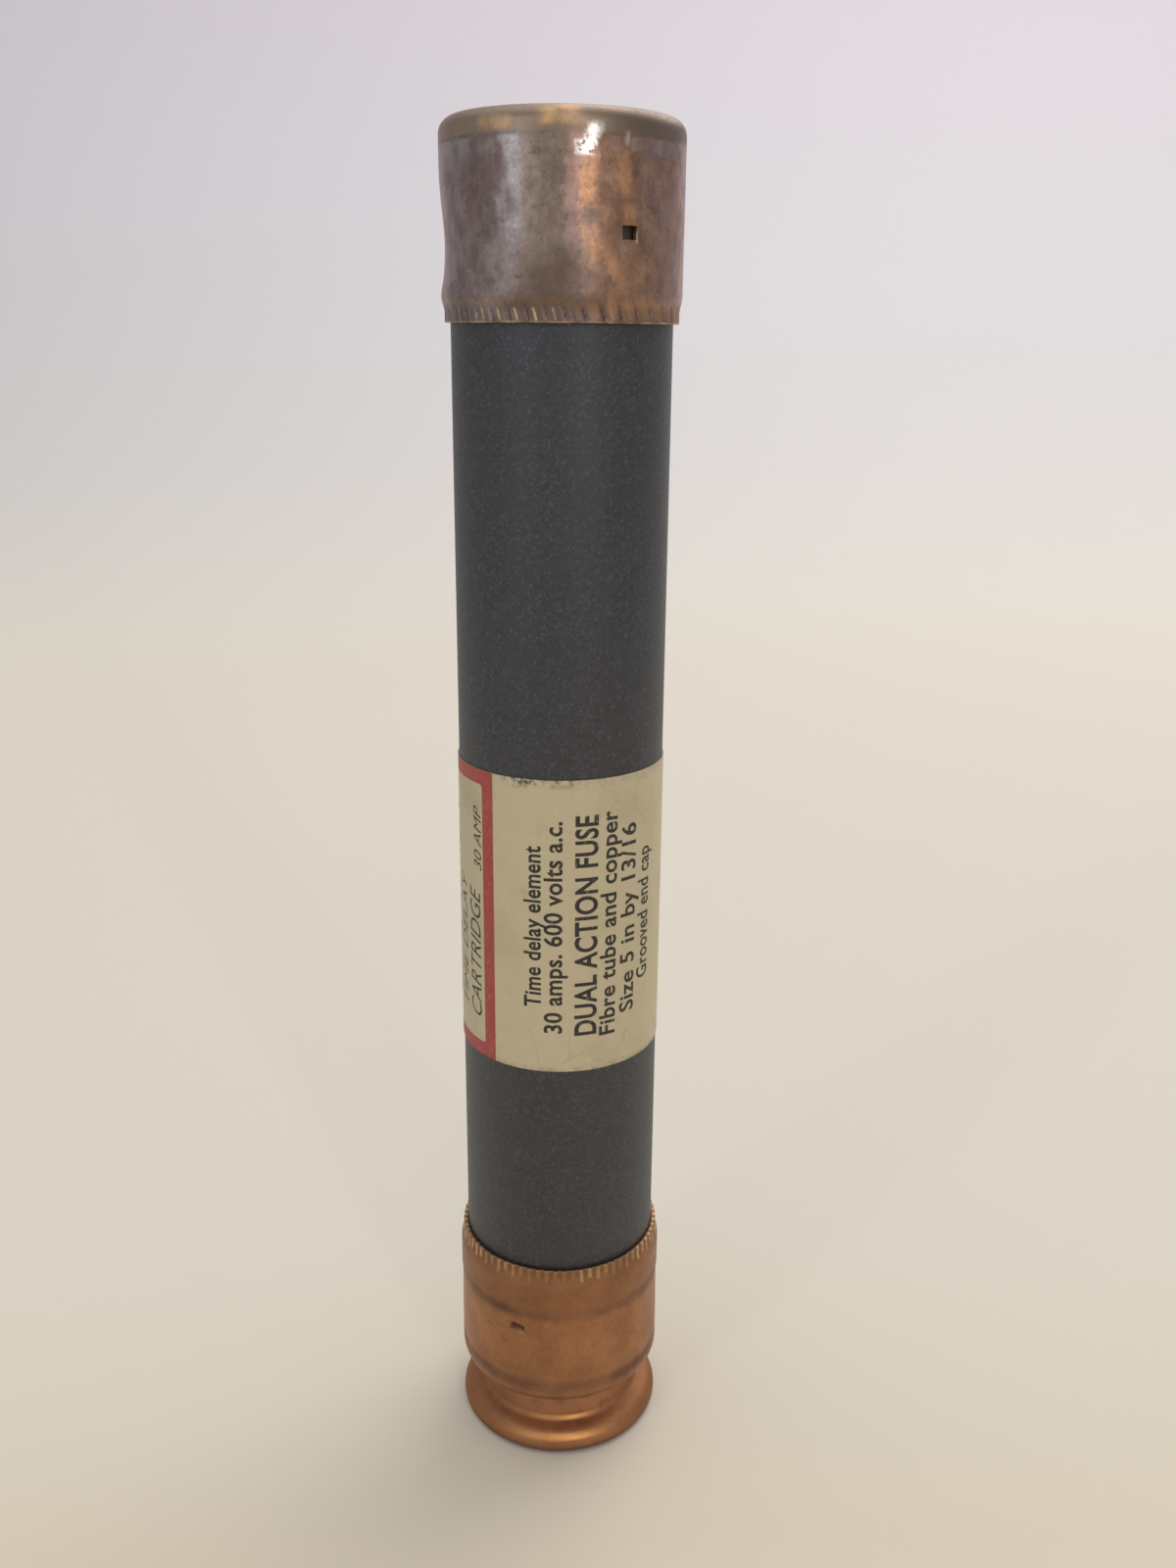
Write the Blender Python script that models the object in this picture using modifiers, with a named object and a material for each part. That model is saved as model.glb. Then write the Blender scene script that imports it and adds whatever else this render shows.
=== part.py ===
"""Dual-element time-delay cartridge fuse with a grooved rejection ferrule, as separate pieces.

Metres, +Z up. The fuse stands on its grooved end, and the origin is the centre of that end's
face. Almost every piece is turned about the Z axis. Inside, from the bottom: a notched link in
sand, the overload chamber with its heat absorber and spring-loaded plunger, and a second link.
"""

import math

import bmesh
import bpy
from mathutils import Matrix, Vector

MM = 0.001

# Case
OVERALL_LENGTH = 127.0 * MM
TUBE_DIAMETER = 19.1 * MM
TUBE_WALL = 2.3 * MM
TUBE_EDGE = 0.3 * MM

# Ferrules
FERRULE_WALL = 0.5 * MM
FERRULE_EASE = 0.25 * MM  # radial room between a ferrule's barrel and the tube
UPPER_FERRULE_LENGTH = 16.0 * MM
LOWER_FERRULE_LENGTH = 22.1 * MM
UPPER_CORNER = 1.3 * MM
CRIMP_HEIGHT = 1.3 * MM
CRIMP_SLOPE = 0.8 * MM

# Rejection groove, rolled into the lower ferrule
FLANGE_HEIGHT = 2.15 * MM
FLANGE_CORNER = 0.85 * MM
FLANGE_ROUND = 0.8 * MM
GROOVE_DEPTH = 2.3 * MM
GROOVE_WIDTH = 2.55 * MM
GROOVE_FILLET = 0.6 * MM
GROOVE_LOWER_SLOPE = 0.9 * MM
GROOVE_UPPER_SLOPE = 1.15 * MM
SHOULDER_ROUND = 1.3 * MM
BARREL_WAIST = 0.1 * MM  # the barrel narrows by this much below the crimp band
BARREL_TAPER = 4.7 * MM
BAND_HEIGHT = 5.2 * MM
BAND_STEP = 0.4 * MM

# Staking marks
WINDOW_WIDTH = 1.3 * MM
WINDOW_HEIGHT = 1.05 * MM
WINDOW_DROP = 9.2 * MM  # from the upper end to the window's centre
WINDOW_ANGLE = math.radians(-58.3)
STAKE_SIDE = 1.5 * MM
STAKE_HEIGHT = 15.0 * MM
STAKE_ANGLE = math.radians(-114.7)

# Label
LABEL_BOTTOM = 44.1 * MM
LABEL_HEIGHT = 28.7 * MM
LABEL_THICKNESS = 0.12 * MM
PASTE = 0.03 * MM

# Short-circuit links
LINK_WIDTH = 5.0 * MM
LINK_THICKNESS = 0.3 * MM
NOTCH_RADIUS = 1.7 * MM
NOTCH_PITCH = 6.5 * MM
LINK_SEAT = 1.5 * MM
LINK_END_GAP = 0.3 * MM  # between a link's end and the washer or ferrule behind it
BEAD_RADIUS = 3.1 * MM
BEAD_HEIGHT = 1.3 * MM
BEAD_ROUND = 1.0 * MM

# Washers and partitions
END_WASHER = 1.0 * MM
PARTITION = 1.0 * MM

# Overload chamber
SLEEVE_WALL = 0.7 * MM
SLEEVE_LEDGE = 0.8 * MM
HEATER_SPACE = 5.0 * MM
HEATER_WIDTH = 3.0 * MM
HEATER_THICKNESS = 0.3 * MM
HEATER_BOW = 1.4 * MM
ABSORBER_HEIGHT = 8.0 * MM
ALLOY_WALL = 1.3 * MM
ALLOY_FLOOR = 0.6 * MM
GRIP_DEPTH = 2.4 * MM
SPRING_SEAT = 1.2 * MM
SPRING_LENGTH = 5.5 * MM
SPRING_WIRE = 0.7 * MM
SPRING_TURNS = 4.5
STEM_RADIUS = 1.2 * MM
COLLAR_RADIUS = 4.2 * MM
COLLAR_THICKNESS = 1.5 * MM
GUIDE_RADIUS = 1.6 * MM
GUIDE_ENGAGEMENT = 2.0 * MM
PLUNGER_TRAVEL = 4.5 * MM
BUSH_WEB = 1.0 * MM

# Clearances
FIT = 0.10 * MM  # between fixed neighbours
RUNNING = 0.15 * MM  # round the plunger
STOP_GAP = 0.10 * MM  # left between the collar and the bush at full travel
BORE_END = 0.5 * MM  # left above the plunger in the bush at full travel

# Facets
CASE_STEPS = 48
INNER_STEPS = 32
SPRING_STEPS = 16
ARC_STEPS = 4
MERGE = 0.001 * MM

# Case radii
TUBE_RADIUS = TUBE_DIAMETER / 2
BORE_RADIUS = TUBE_RADIUS - TUBE_WALL
FERRULE_RADIUS = TUBE_RADIUS + FERRULE_EASE + FERRULE_WALL
LIP_RADIUS = TUBE_RADIUS + FIT + FERRULE_WALL
GROOVE_RADIUS = FERRULE_RADIUS - GROOVE_DEPTH
INSERT_RADIUS = BORE_RADIUS - FIT

# Heights of the groove
GROOVE_BOTTOM = FLANGE_HEIGHT + GROOVE_LOWER_SLOPE
GROOVE_TOP = GROOVE_BOTTOM + GROOVE_WIDTH
SHOULDER = GROOVE_TOP + GROOVE_UPPER_SLOPE
SHOULDER_TURN = math.atan2(GROOVE_DEPTH, GROOVE_UPPER_SLOPE)
SHOULDER_REST = SHOULDER + SHOULDER_ROUND * math.tan(SHOULDER_TURN / 2)

# Heights of the case
LOWER_WASHER_BOTTOM = SHOULDER_REST + FIT
TUBE_BOTTOM = LOWER_WASHER_BOTTOM + END_WASHER + FIT
TUBE_TOP = OVERALL_LENGTH - UPPER_CORNER
UPPER_WASHER_BOTTOM = TUBE_TOP + FIT
UPPER_WASHER_TOP = OVERALL_LENGTH - FERRULE_WALL - FIT

# The overload chamber's stack, measured up from its floor
ABSORBER_BOTTOM = HEATER_SPACE
ABSORBER_TOP = ABSORBER_BOTTOM + ABSORBER_HEIGHT
SEAT_BOTTOM = ABSORBER_TOP + FIT
SEAT_TOP = SEAT_BOTTOM + SPRING_SEAT
COLLAR_BOTTOM = SEAT_TOP + SPRING_LENGTH
COLLAR_TOP = COLLAR_BOTTOM + COLLAR_THICKNESS
BUSH_BOTTOM = COLLAR_TOP + PLUNGER_TRAVEL + STOP_GAP
GUIDE_TOP = BUSH_BOTTOM + GUIDE_ENGAGEMENT
BORE_TOP = GUIDE_TOP + PLUNGER_TRAVEL + BORE_END
BUSH_TOP = BORE_TOP + BUSH_WEB + LINK_SEAT
CHAMBER_HEIGHT = BUSH_TOP + FIT
CHAMBER_FLOOR = (TUBE_BOTTOM + TUBE_TOP - CHAMBER_HEIGHT) / 2
CHAMBER_CEILING = CHAMBER_FLOOR + CHAMBER_HEIGHT

# The two lengths of tube that are packed with sand, as (bottom, top)
LOWER_SAND = (TUBE_BOTTOM, CHAMBER_FLOOR - FIT - PARTITION - FIT)
UPPER_SAND = (CHAMBER_CEILING + FIT + PARTITION + FIT, UPPER_WASHER_TOP - BEAD_HEIGHT - FIT)

# Radii inside the chamber
SLEEVE_BORE = INSERT_RADIUS - SLEEVE_WALL
CORE_RADIUS = SLEEVE_BORE - FIT
ALLOY_BORE = STEM_RADIUS + FIT
ALLOY_RADIUS = ALLOY_BORE + ALLOY_WALL
ALLOY_DEPTH = ALLOY_FLOOR + FIT + GRIP_DEPTH
SPRING_RADIUS = (ALLOY_RADIUS + COLLAR_RADIUS) / 2 - SPRING_WIRE / 4

COPPER = (0.60, 0.27, 0.15, 1.0)
TARNISHED_COPPER = (0.36, 0.20, 0.13, 1.0)
BRASS = (0.62, 0.44, 0.19, 1.0)
STEEL = (0.46, 0.46, 0.48, 1.0)
SOLDER = (0.52, 0.53, 0.55, 1.0)
FIBRE = (0.055, 0.052, 0.055, 1.0)
PALE_FIBRE = (0.42, 0.33, 0.24, 1.0)
PAPER = (0.62, 0.56, 0.41, 1.0)
SAND = (0.66, 0.60, 0.48, 1.0)


def clear_scene():
    """Remove every object that is already there."""
    for obj in list(bpy.data.objects):
        bpy.data.objects.remove(obj, do_unlink=True)


def new_collection(name):
    """A collection linked to the scene."""
    collection = bpy.data.collections.new(name)
    bpy.context.scene.collection.children.link(collection)
    return collection


def new_material(name, color, roughness, metallic):
    """A Principled material with one plain finish."""
    material = bpy.data.materials.new(name)
    material.use_nodes = True
    shader = material.node_tree.nodes["Principled BSDF"]
    shader.inputs["Base Color"].default_value = color
    shader.inputs["Roughness"].default_value = roughness
    shader.inputs["Metallic"].default_value = metallic
    return material


def place(name, data, collection, finish):
    """An object for one piece, with its own material made from (color, roughness, metallic)."""
    obj = bpy.data.objects.new(name, data)
    data.materials.append(new_material(name, *finish))
    collection.objects.link(obj)
    return obj


def filleted(corners):
    """Points along (r, z, fillet) corners, each corner rounded by an arc of its fillet radius."""
    points = [Vector(corners[0][:2])]
    for before, corner, after in zip(corners, corners[1:], corners[2:]):
        here = Vector(corner[:2])
        fillet = corner[2]
        if fillet <= 0:
            points.append(here)
            continue
        back = (Vector(before[:2]) - here).normalized()
        ahead = (Vector(after[:2]) - here).normalized()
        half = back.angle(ahead) / 2
        centre = here + (back + ahead).normalized() * (fillet / math.sin(half))
        first = here + back * (fillet / math.tan(half)) - centre
        last = here + ahead * (fillet / math.tan(half)) - centre
        start = math.atan2(first.y, first.x)
        sweep = math.remainder(math.atan2(last.y, last.x) - start, math.tau)
        for step in range(ARC_STEPS + 1):
            angle = start + sweep * step / ARC_STEPS
            points.append(centre + fillet * Vector((math.cos(angle), math.sin(angle))))
    points.append(Vector(corners[-1][:2]))
    return points


def inward(corners, wall):
    """The same corners moved left of the path by the wall; fillets stay concentric, sharp ones sharp."""
    spots = [Vector(corner[:2]) for corner in corners]
    runs = [(after - before).normalized() for before, after in zip(spots, spots[1:])]
    normals = [Vector((-run.y, run.x)) for run in runs]
    moved = [(*(spots[0] + normals[0] * wall), 0.0)]
    for index in range(1, len(spots) - 1):
        one, two = normals[index - 1], normals[index]
        shift = (one + two) * (wall / (1 + one.dot(two)))
        left_turn = runs[index - 1].cross(runs[index]) > 0
        fillet = corners[index][2]
        if fillet > 0:
            fillet = max(fillet - wall, 0.0) if left_turn else fillet + wall
        moved.append((*(spots[index] + shift), fillet))
    moved.append((*(spots[-1] + normals[-1] * wall), 0.0))
    return moved


def signed_area(points):
    """The area inside a profile, positive when it runs counter-clockwise."""
    pairs = zip(points, points[1:] + points[:1])
    return sum(one[0] * two[1] - two[0] * one[1] for one, two in pairs) / 2


def turned(name, profile, collection, finish, steps=INNER_STEPS):
    """A solid of revolution about Z from an (r, z) profile, open only where it meets the axis."""
    points = [tuple(point) for point in profile]
    if signed_area(points) > 0:
        points.reverse()
    on_axis = min(point[0] for point in points) < MERGE
    if on_axis:
        while not (points[0][0] < MERGE and points[-1][0] < MERGE):
            points = points[1:] + points[:1]
    mesh = bpy.data.meshes.new(name)
    shape = bmesh.new()
    verts = [shape.verts.new((radius, 0, height)) for radius, height in points]
    for one, two in zip(verts, verts[1:]):
        shape.edges.new((one, two))
    if not on_axis:
        shape.edges.new((verts[-1], verts[0]))
    shape.to_mesh(mesh)
    shape.free()
    obj = place(name, mesh, collection, finish)
    screw = obj.modifiers.new("turn", "SCREW")
    screw.axis = "Z"
    screw.angle = math.tau
    screw.steps = steps
    screw.render_steps = steps
    screw.use_merge_vertices = True
    screw.merge_threshold = MERGE
    screw.use_smooth_shade = True
    return obj


def ring_profile(inner, outer, bottom, top):
    """The section of a plain ring, or of a disc where inner is zero."""
    return [(inner, bottom), (outer, bottom), (outer, top), (inner, top)]


def cutter_box(name, size, centre, angle, cutters):
    """A hidden box, turned about Z, that a piece is cut with."""
    mesh = bpy.data.meshes.new(name)
    shape = bmesh.new()
    bmesh.ops.create_cube(shape, size=1.0, matrix=Matrix.Diagonal((*size, 1.0)))
    shape.to_mesh(mesh)
    shape.free()
    return hide_cutter(name, mesh, centre, angle, cutters)


def cutter_prism(name, side, depth, centre, angle, cutters):
    """A hidden three-sided prism lying along its own X axis, point down."""
    mesh = bpy.data.meshes.new(name)
    shape = bmesh.new()
    radius = side / math.sqrt(3)
    lying = Matrix.Rotation(math.pi / 2, 4, "Y")
    bmesh.ops.create_cone(
        shape, cap_ends=True, segments=3, radius1=radius, radius2=radius, depth=depth, matrix=lying
    )
    shape.to_mesh(mesh)
    shape.free()
    return hide_cutter(name, mesh, centre, angle, cutters)


def hide_cutter(name, mesh, centre, angle, cutters):
    """Link a cutter that neither renders nor counts as a piece."""
    cutter = bpy.data.objects.new(name, mesh)
    cutter.location = centre
    cutter.rotation_euler.z = angle
    cutter.hide_render = True
    cutter.display_type = "WIRE"
    cutters.objects.link(cutter)
    return cutter


def cut(obj, cutter):
    """Take the cutter's volume out of a piece."""
    boolean = obj.modifiers.new(cutter.name, "BOOLEAN")
    boolean.operation = "DIFFERENCE"
    boolean.solver = "EXACT"
    boolean.object = cutter


def slot_cutter(name, width, thickness, bottom, top, cutters, offset=0.0):
    """A cutter for a strip that stands on the axis, grown by the fixed clearance on each side."""
    size = (width + 2 * FIT, thickness + 2 * FIT, top - bottom)
    return cutter_box(name, size, (0, offset, (bottom + top) / 2), 0.0, cutters)


def link_slot(name, bottom, top, cutters):
    """A cutter for a short-circuit link between two heights."""
    return slot_cutter(name, LINK_WIDTH, LINK_THICKNESS, bottom, top, cutters)


def add_tube(parts):
    """The fibre casing, with its edges eased."""
    profile = filleted(
        [
            (BORE_RADIUS, TUBE_BOTTOM, 0),
            (TUBE_RADIUS - TUBE_EDGE, TUBE_BOTTOM, 0),
            (TUBE_RADIUS, TUBE_BOTTOM + TUBE_EDGE, 0),
            (TUBE_RADIUS, TUBE_TOP - TUBE_EDGE, 0),
            (TUBE_RADIUS - TUBE_EDGE, TUBE_TOP, 0),
            (BORE_RADIUS, TUBE_TOP, 0),
        ]
    )
    turned("fuse_tube", profile, parts, (FIBRE, 0.8, 0.0), CASE_STEPS)


def ferrule_profile(corners):
    """The closed section of a pressed cap of even wall, from its outer corners, end first."""
    outside = filleted(corners)
    inside = filleted(inward(corners, FERRULE_WALL))
    inside[0].x = 0.0
    return outside + inside[::-1]


def lip_corners(length):
    """The crimped end of a ferrule, where it closes on the tube."""
    return [
        (FERRULE_RADIUS, length - CRIMP_HEIGHT - CRIMP_SLOPE, 0),
        (LIP_RADIUS, length - CRIMP_HEIGHT, 0),
        (LIP_RADIUS, length, 0),
    ]


def add_upper_ferrule(parts, cutters):
    """The plain ferrule, with a square staking window through its wall."""
    corners = [(0, 0, 0), (FERRULE_RADIUS, 0, UPPER_CORNER), *lip_corners(UPPER_FERRULE_LENGTH)]
    profile = [(radius, OVERALL_LENGTH - depth) for radius, depth in ferrule_profile(corners)]
    ferrule = turned("upper_ferrule", profile, parts, (TARNISHED_COPPER, 0.4, 1.0), CASE_STEPS)
    centre = on_wall(WINDOW_ANGLE, OVERALL_LENGTH - WINDOW_DROP)
    size = (4 * FERRULE_WALL, WINDOW_WIDTH, WINDOW_HEIGHT)
    cut(ferrule, cutter_box("window_cutter", size, centre, WINDOW_ANGLE, cutters))


def add_lower_ferrule(parts, cutters):
    """The rejection ferrule: flange, rolled groove, barrel and crimp band, with a stake mark."""
    band = LOWER_FERRULE_LENGTH - BAND_HEIGHT
    waist = band - BAND_STEP
    corners = [
        (0, 0, 0),
        (FERRULE_RADIUS, 0, FLANGE_CORNER),
        (FERRULE_RADIUS, FLANGE_HEIGHT, FLANGE_ROUND),
        (GROOVE_RADIUS, GROOVE_BOTTOM, GROOVE_FILLET),
        (GROOVE_RADIUS, GROOVE_TOP, GROOVE_FILLET),
        (FERRULE_RADIUS, SHOULDER, SHOULDER_ROUND),
        (FERRULE_RADIUS, waist - BARREL_TAPER, 0),
        (FERRULE_RADIUS - BARREL_WAIST, waist, 0),
        (FERRULE_RADIUS, band, 0),
        *lip_corners(LOWER_FERRULE_LENGTH),
    ]
    ferrule = turned("lower_ferrule", ferrule_profile(corners), parts, (COPPER, 0.35, 1.0), CASE_STEPS)
    centre = on_wall(STAKE_ANGLE, STAKE_HEIGHT)
    stake = cutter_prism("stake_cutter", STAKE_SIDE, 4 * FERRULE_WALL, centre, STAKE_ANGLE, cutters)
    cut(ferrule, stake)


def on_wall(angle, height):
    """A point at the middle of a ferrule's wall."""
    radius = FERRULE_RADIUS - FERRULE_WALL / 2
    return (radius * math.cos(angle), radius * math.sin(angle), height)


def add_label(parts):
    """The printed paper, wrapped once round the tube."""
    inner = TUBE_RADIUS + PASTE
    profile = ring_profile(
        inner, inner + LABEL_THICKNESS, LABEL_BOTTOM, LABEL_BOTTOM + LABEL_HEIGHT
    )
    turned("label", profile, parts, (PAPER, 0.6, 0.0), CASE_STEPS)


def add_end_washers(parts, cutters):
    """Fibre washers at the tube's ends; each leaves room for its link and solder."""
    bore = BEAD_RADIUS + FIT
    profile = ring_profile(
        bore, FERRULE_RADIUS - UPPER_CORNER, UPPER_WASHER_BOTTOM, UPPER_WASHER_TOP
    )
    turned("upper_end_washer", profile, parts, (PALE_FIBRE, 0.8, 0.0))
    top = LOWER_WASHER_BOTTOM + END_WASHER
    profile = ring_profile(0, TUBE_RADIUS, LOWER_WASHER_BOTTOM, top)
    washer = turned("lower_end_washer", profile, parts, (PALE_FIBRE, 0.8, 0.0), CASE_STEPS)
    cut(washer, link_slot("washer_slot", LOWER_WASHER_BOTTOM - FIT, top + FIT, cutters))


def add_solder_beads(parts, cutters):
    """A bead on each ferrule's inner face, slotted for the link that it holds."""
    for name, base, up in (
        ("lower_solder_bead", FERRULE_WALL + FIT, 1),
        ("upper_solder_bead", UPPER_WASHER_TOP, -1),
    ):
        corners = [(0, 0, 0), (BEAD_RADIUS, 0, 0), (BEAD_RADIUS, BEAD_HEIGHT, BEAD_ROUND),
                   (0, BEAD_HEIGHT, 0)]
        profile = [(radius, base + up * height) for radius, height in filleted(corners)]
        bead = turned(name, profile, parts, (SOLDER, 0.35, 1.0))
        ends = sorted((base + up * FIT * 2, base + up * (BEAD_HEIGHT + FIT)))
        cut(bead, link_slot(name + "_slot", *ends, cutters))


def strip_outline(bottom, top, sand):
    """The outline of a link in (x, z): a strip with pairs of round notches where it runs in sand."""
    half = LINK_WIDTH / 2
    rows = int((sand[1] - sand[0] - NOTCH_PITCH) / NOTCH_PITCH)
    lowest = (sum(sand) - (rows - 1) * NOTCH_PITCH) / 2
    side = [(half, bottom)]
    for row in range(rows):
        centre = lowest + row * NOTCH_PITCH
        for step in range(2 * ARC_STEPS + 1):
            angle = -math.pi / 2 + math.pi * step / (2 * ARC_STEPS)
            side.append((half - NOTCH_RADIUS * math.cos(angle), centre + NOTCH_RADIUS * math.sin(angle)))
    side.append((half, top))
    return side + [(-x, z) for x, z in reversed(side)]


def add_links(parts):
    """The two short-circuit links, each from its solder bead to the overload chamber."""
    spans = {
        "upper_link": (CHAMBER_FLOOR + BUSH_TOP - LINK_SEAT + FIT, UPPER_WASHER_TOP - LINK_END_GAP, UPPER_SAND),
        "lower_link": (FERRULE_WALL + FIT + LINK_END_GAP, CHAMBER_FLOOR + LINK_SEAT, LOWER_SAND),
    }
    for name, span in spans.items():
        curve = bpy.data.curves.new(name, "CURVE")
        curve.dimensions = "2D"
        curve.fill_mode = "BOTH"
        curve.extrude = LINK_THICKNESS / 2
        outline = strip_outline(*span)
        spline = curve.splines.new("POLY")
        spline.points.add(len(outline) - 1)
        for point, (x, z) in zip(spline.points, outline):
            point.co = (x, z, 0, 1)
        spline.use_cyclic_u = True
        link = place(name, curve, parts, (COPPER, 0.3, 1.0))
        link.rotation_euler.x = math.pi / 2


def add_fillers(parts, cutters):
    """Arc-quenching sand packed round each link, from the tube's ends to the partitions."""
    for name, (bottom, top) in (("upper_filler", UPPER_SAND), ("lower_filler", LOWER_SAND)):
        filler = turned(name, ring_profile(0, INSERT_RADIUS, bottom, top), parts, (SAND, 0.9, 0.0))
        cut(filler, link_slot(name + "_slot", bottom - FIT, top + FIT, cutters))


def add_partitions(parts, cutters):
    """Fibre discs that close the overload chamber, slotted for the links."""
    spans = {
        "upper_partition": CHAMBER_CEILING + FIT,
        "lower_partition": CHAMBER_FLOOR - FIT - PARTITION,
    }
    for name, bottom in spans.items():
        top = bottom + PARTITION
        disc = turned(name, ring_profile(0, INSERT_RADIUS, bottom, top), parts, (PALE_FIBRE, 0.8, 0.0))
        cut(disc, link_slot(name + "_slot", bottom - FIT, top + FIT, cutters))


def add_sleeve(parts):
    """The chamber's liner, with a ledge that carries the heat absorber."""
    ledge = CHAMBER_FLOOR + ABSORBER_BOTTOM - FIT
    profile = [
        (SLEEVE_BORE - SLEEVE_LEDGE, CHAMBER_FLOOR),
        (INSERT_RADIUS, CHAMBER_FLOOR),
        (INSERT_RADIUS, CHAMBER_CEILING),
        (SLEEVE_BORE, CHAMBER_CEILING),
        (SLEEVE_BORE, ledge),
        (SLEEVE_BORE - SLEEVE_LEDGE, ledge),
    ]
    turned("overload_sleeve", profile, parts, (PALE_FIBRE, 0.8, 0.0))


def add_heat_absorber(parts, cutters):
    """The copper centre mass, bored for the alloy above and slotted for the heater below."""
    bottom = CHAMBER_FLOOR + ABSORBER_BOTTOM
    top = CHAMBER_FLOOR + ABSORBER_TOP
    well = ALLOY_RADIUS + FIT
    profile = [
        (0, bottom),
        (CORE_RADIUS, bottom),
        (CORE_RADIUS, top),
        (well, top),
        (well, top - ALLOY_DEPTH - FIT),
        (0, top - ALLOY_DEPTH - FIT),
    ]
    absorber = turned("heat_absorber", profile, parts, (COPPER, 0.3, 1.0))
    slot = slot_cutter(
        "heater_slot", HEATER_WIDTH, HEATER_THICKNESS, bottom - FIT, bottom + LINK_SEAT, cutters,
        heater_offset()
    )
    cut(absorber, slot)


def heater_offset():
    """How far the heater's ends stand off the axis, to lie flat against the lower link."""
    return LINK_THICKNESS / 2 + FIT + HEATER_THICKNESS / 2


def add_heater_strip(parts):
    """A bowed resistance strip from the lower link up into the heat absorber."""
    low = CHAMBER_FLOOR + FIT
    high = CHAMBER_FLOOR + ABSORBER_BOTTOM + LINK_SEAT - FIT
    bow_low = CHAMBER_FLOOR + LINK_SEAT
    bow_high = CHAMBER_FLOOR + ABSORBER_BOTTOM - FIT
    offset = heater_offset()
    bends = 2 * ARC_STEPS
    side = [(offset, low)]
    for step in range(bends + 1):
        share = step / bends
        bow = HEATER_BOW * math.sin(math.pi * share) ** 2
        side.append((offset + bow, bow_low + (bow_high - bow_low) * share))
    side.append((offset, high))
    mesh = bpy.data.meshes.new("heater_strip")
    shape = bmesh.new()
    for one, two in zip(side, side[1:]):
        ends = [(-HEATER_WIDTH / 2, *one), (HEATER_WIDTH / 2, *one),
                (HEATER_WIDTH / 2, *two), (-HEATER_WIDTH / 2, *two)]
        shape.faces.new([shape.verts.new(end) for end in ends])
    bmesh.ops.remove_doubles(shape, verts=shape.verts, dist=MERGE)
    shape.to_mesh(mesh)
    shape.free()
    strip = place("heater_strip", mesh, parts, (STEEL, 0.4, 1.0))
    wall = strip.modifiers.new("wall", "SOLIDIFY")
    wall.thickness = HEATER_THICKNESS
    wall.offset = 0.0


def add_fusing_alloy(parts):
    """The low-melting pellet in the absorber's well, cast round the plunger's tip."""
    top = CHAMBER_FLOOR + ABSORBER_TOP
    bottom = top - ALLOY_DEPTH
    profile = [
        (0, bottom),
        (ALLOY_RADIUS, bottom),
        (ALLOY_RADIUS, top),
        (ALLOY_BORE, top),
        (ALLOY_BORE, bottom + ALLOY_FLOOR),
        (0, bottom + ALLOY_FLOOR),
    ]
    turned("fusing_alloy", profile, parts, (SOLDER, 0.35, 1.0))


def add_spring_seat(parts):
    """The insulating washer between the absorber and the spring."""
    profile = ring_profile(
        STEM_RADIUS + RUNNING, CORE_RADIUS, CHAMBER_FLOOR + SEAT_BOTTOM, CHAMBER_FLOOR + SEAT_TOP
    )
    turned("spring_seat", profile, parts, (PALE_FIBRE, 0.7, 0.0))


def add_trigger_spring(parts):
    """The coil spring, held compressed between its seat and the plunger's collar."""
    low = CHAMBER_FLOOR + SEAT_TOP + FIT + SPRING_WIRE / 2
    high = CHAMBER_FLOOR + COLLAR_BOTTOM - FIT - SPRING_WIRE / 2
    count = int(SPRING_TURNS * SPRING_STEPS)
    curve = bpy.data.curves.new("trigger_spring", "CURVE")
    curve.dimensions = "3D"
    curve.bevel_depth = SPRING_WIRE / 2
    curve.bevel_resolution = 2
    curve.use_fill_caps = True
    spline = curve.splines.new("POLY")
    spline.points.add(count)
    for index, point in enumerate(spline.points):
        angle = math.tau * index / SPRING_STEPS
        height = low + (high - low) * index / count
        point.co = (SPRING_RADIUS * math.cos(angle), SPRING_RADIUS * math.sin(angle), height, 1)
    place("trigger_spring", curve, parts, (STEEL, 0.3, 1.0))


def add_trigger_plunger(parts):
    """The connector: a tip in the alloy, a collar on the spring and a guide in the bush."""
    tip = CHAMBER_FLOOR + ABSORBER_TOP - GRIP_DEPTH
    low = CHAMBER_FLOOR + COLLAR_BOTTOM
    high = CHAMBER_FLOOR + COLLAR_TOP
    top = CHAMBER_FLOOR + GUIDE_TOP
    profile = [
        (0, tip),
        (STEM_RADIUS, tip),
        (STEM_RADIUS, low),
        (COLLAR_RADIUS, low),
        (COLLAR_RADIUS, high),
        (GUIDE_RADIUS, high),
        (GUIDE_RADIUS, top),
        (0, top),
    ]
    turned("trigger_plunger", profile, parts, (BRASS, 0.3, 1.0))


def add_contact_bush(parts, cutters):
    """The bush that guides the plunger and carries the upper link in a slot."""
    bottom = CHAMBER_FLOOR + BUSH_BOTTOM
    top = CHAMBER_FLOOR + BUSH_TOP
    bore = GUIDE_RADIUS + RUNNING
    bore_top = CHAMBER_FLOOR + BORE_TOP
    profile = [
        (0, top),
        (CORE_RADIUS, top),
        (CORE_RADIUS, bottom),
        (bore, bottom),
        (bore, bore_top),
        (0, bore_top),
    ]
    bush = turned("contact_bush", profile, parts, (COPPER, 0.3, 1.0))
    cut(bush, link_slot("bush_slot", top - LINK_SEAT, top + FIT, cutters))


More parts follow.
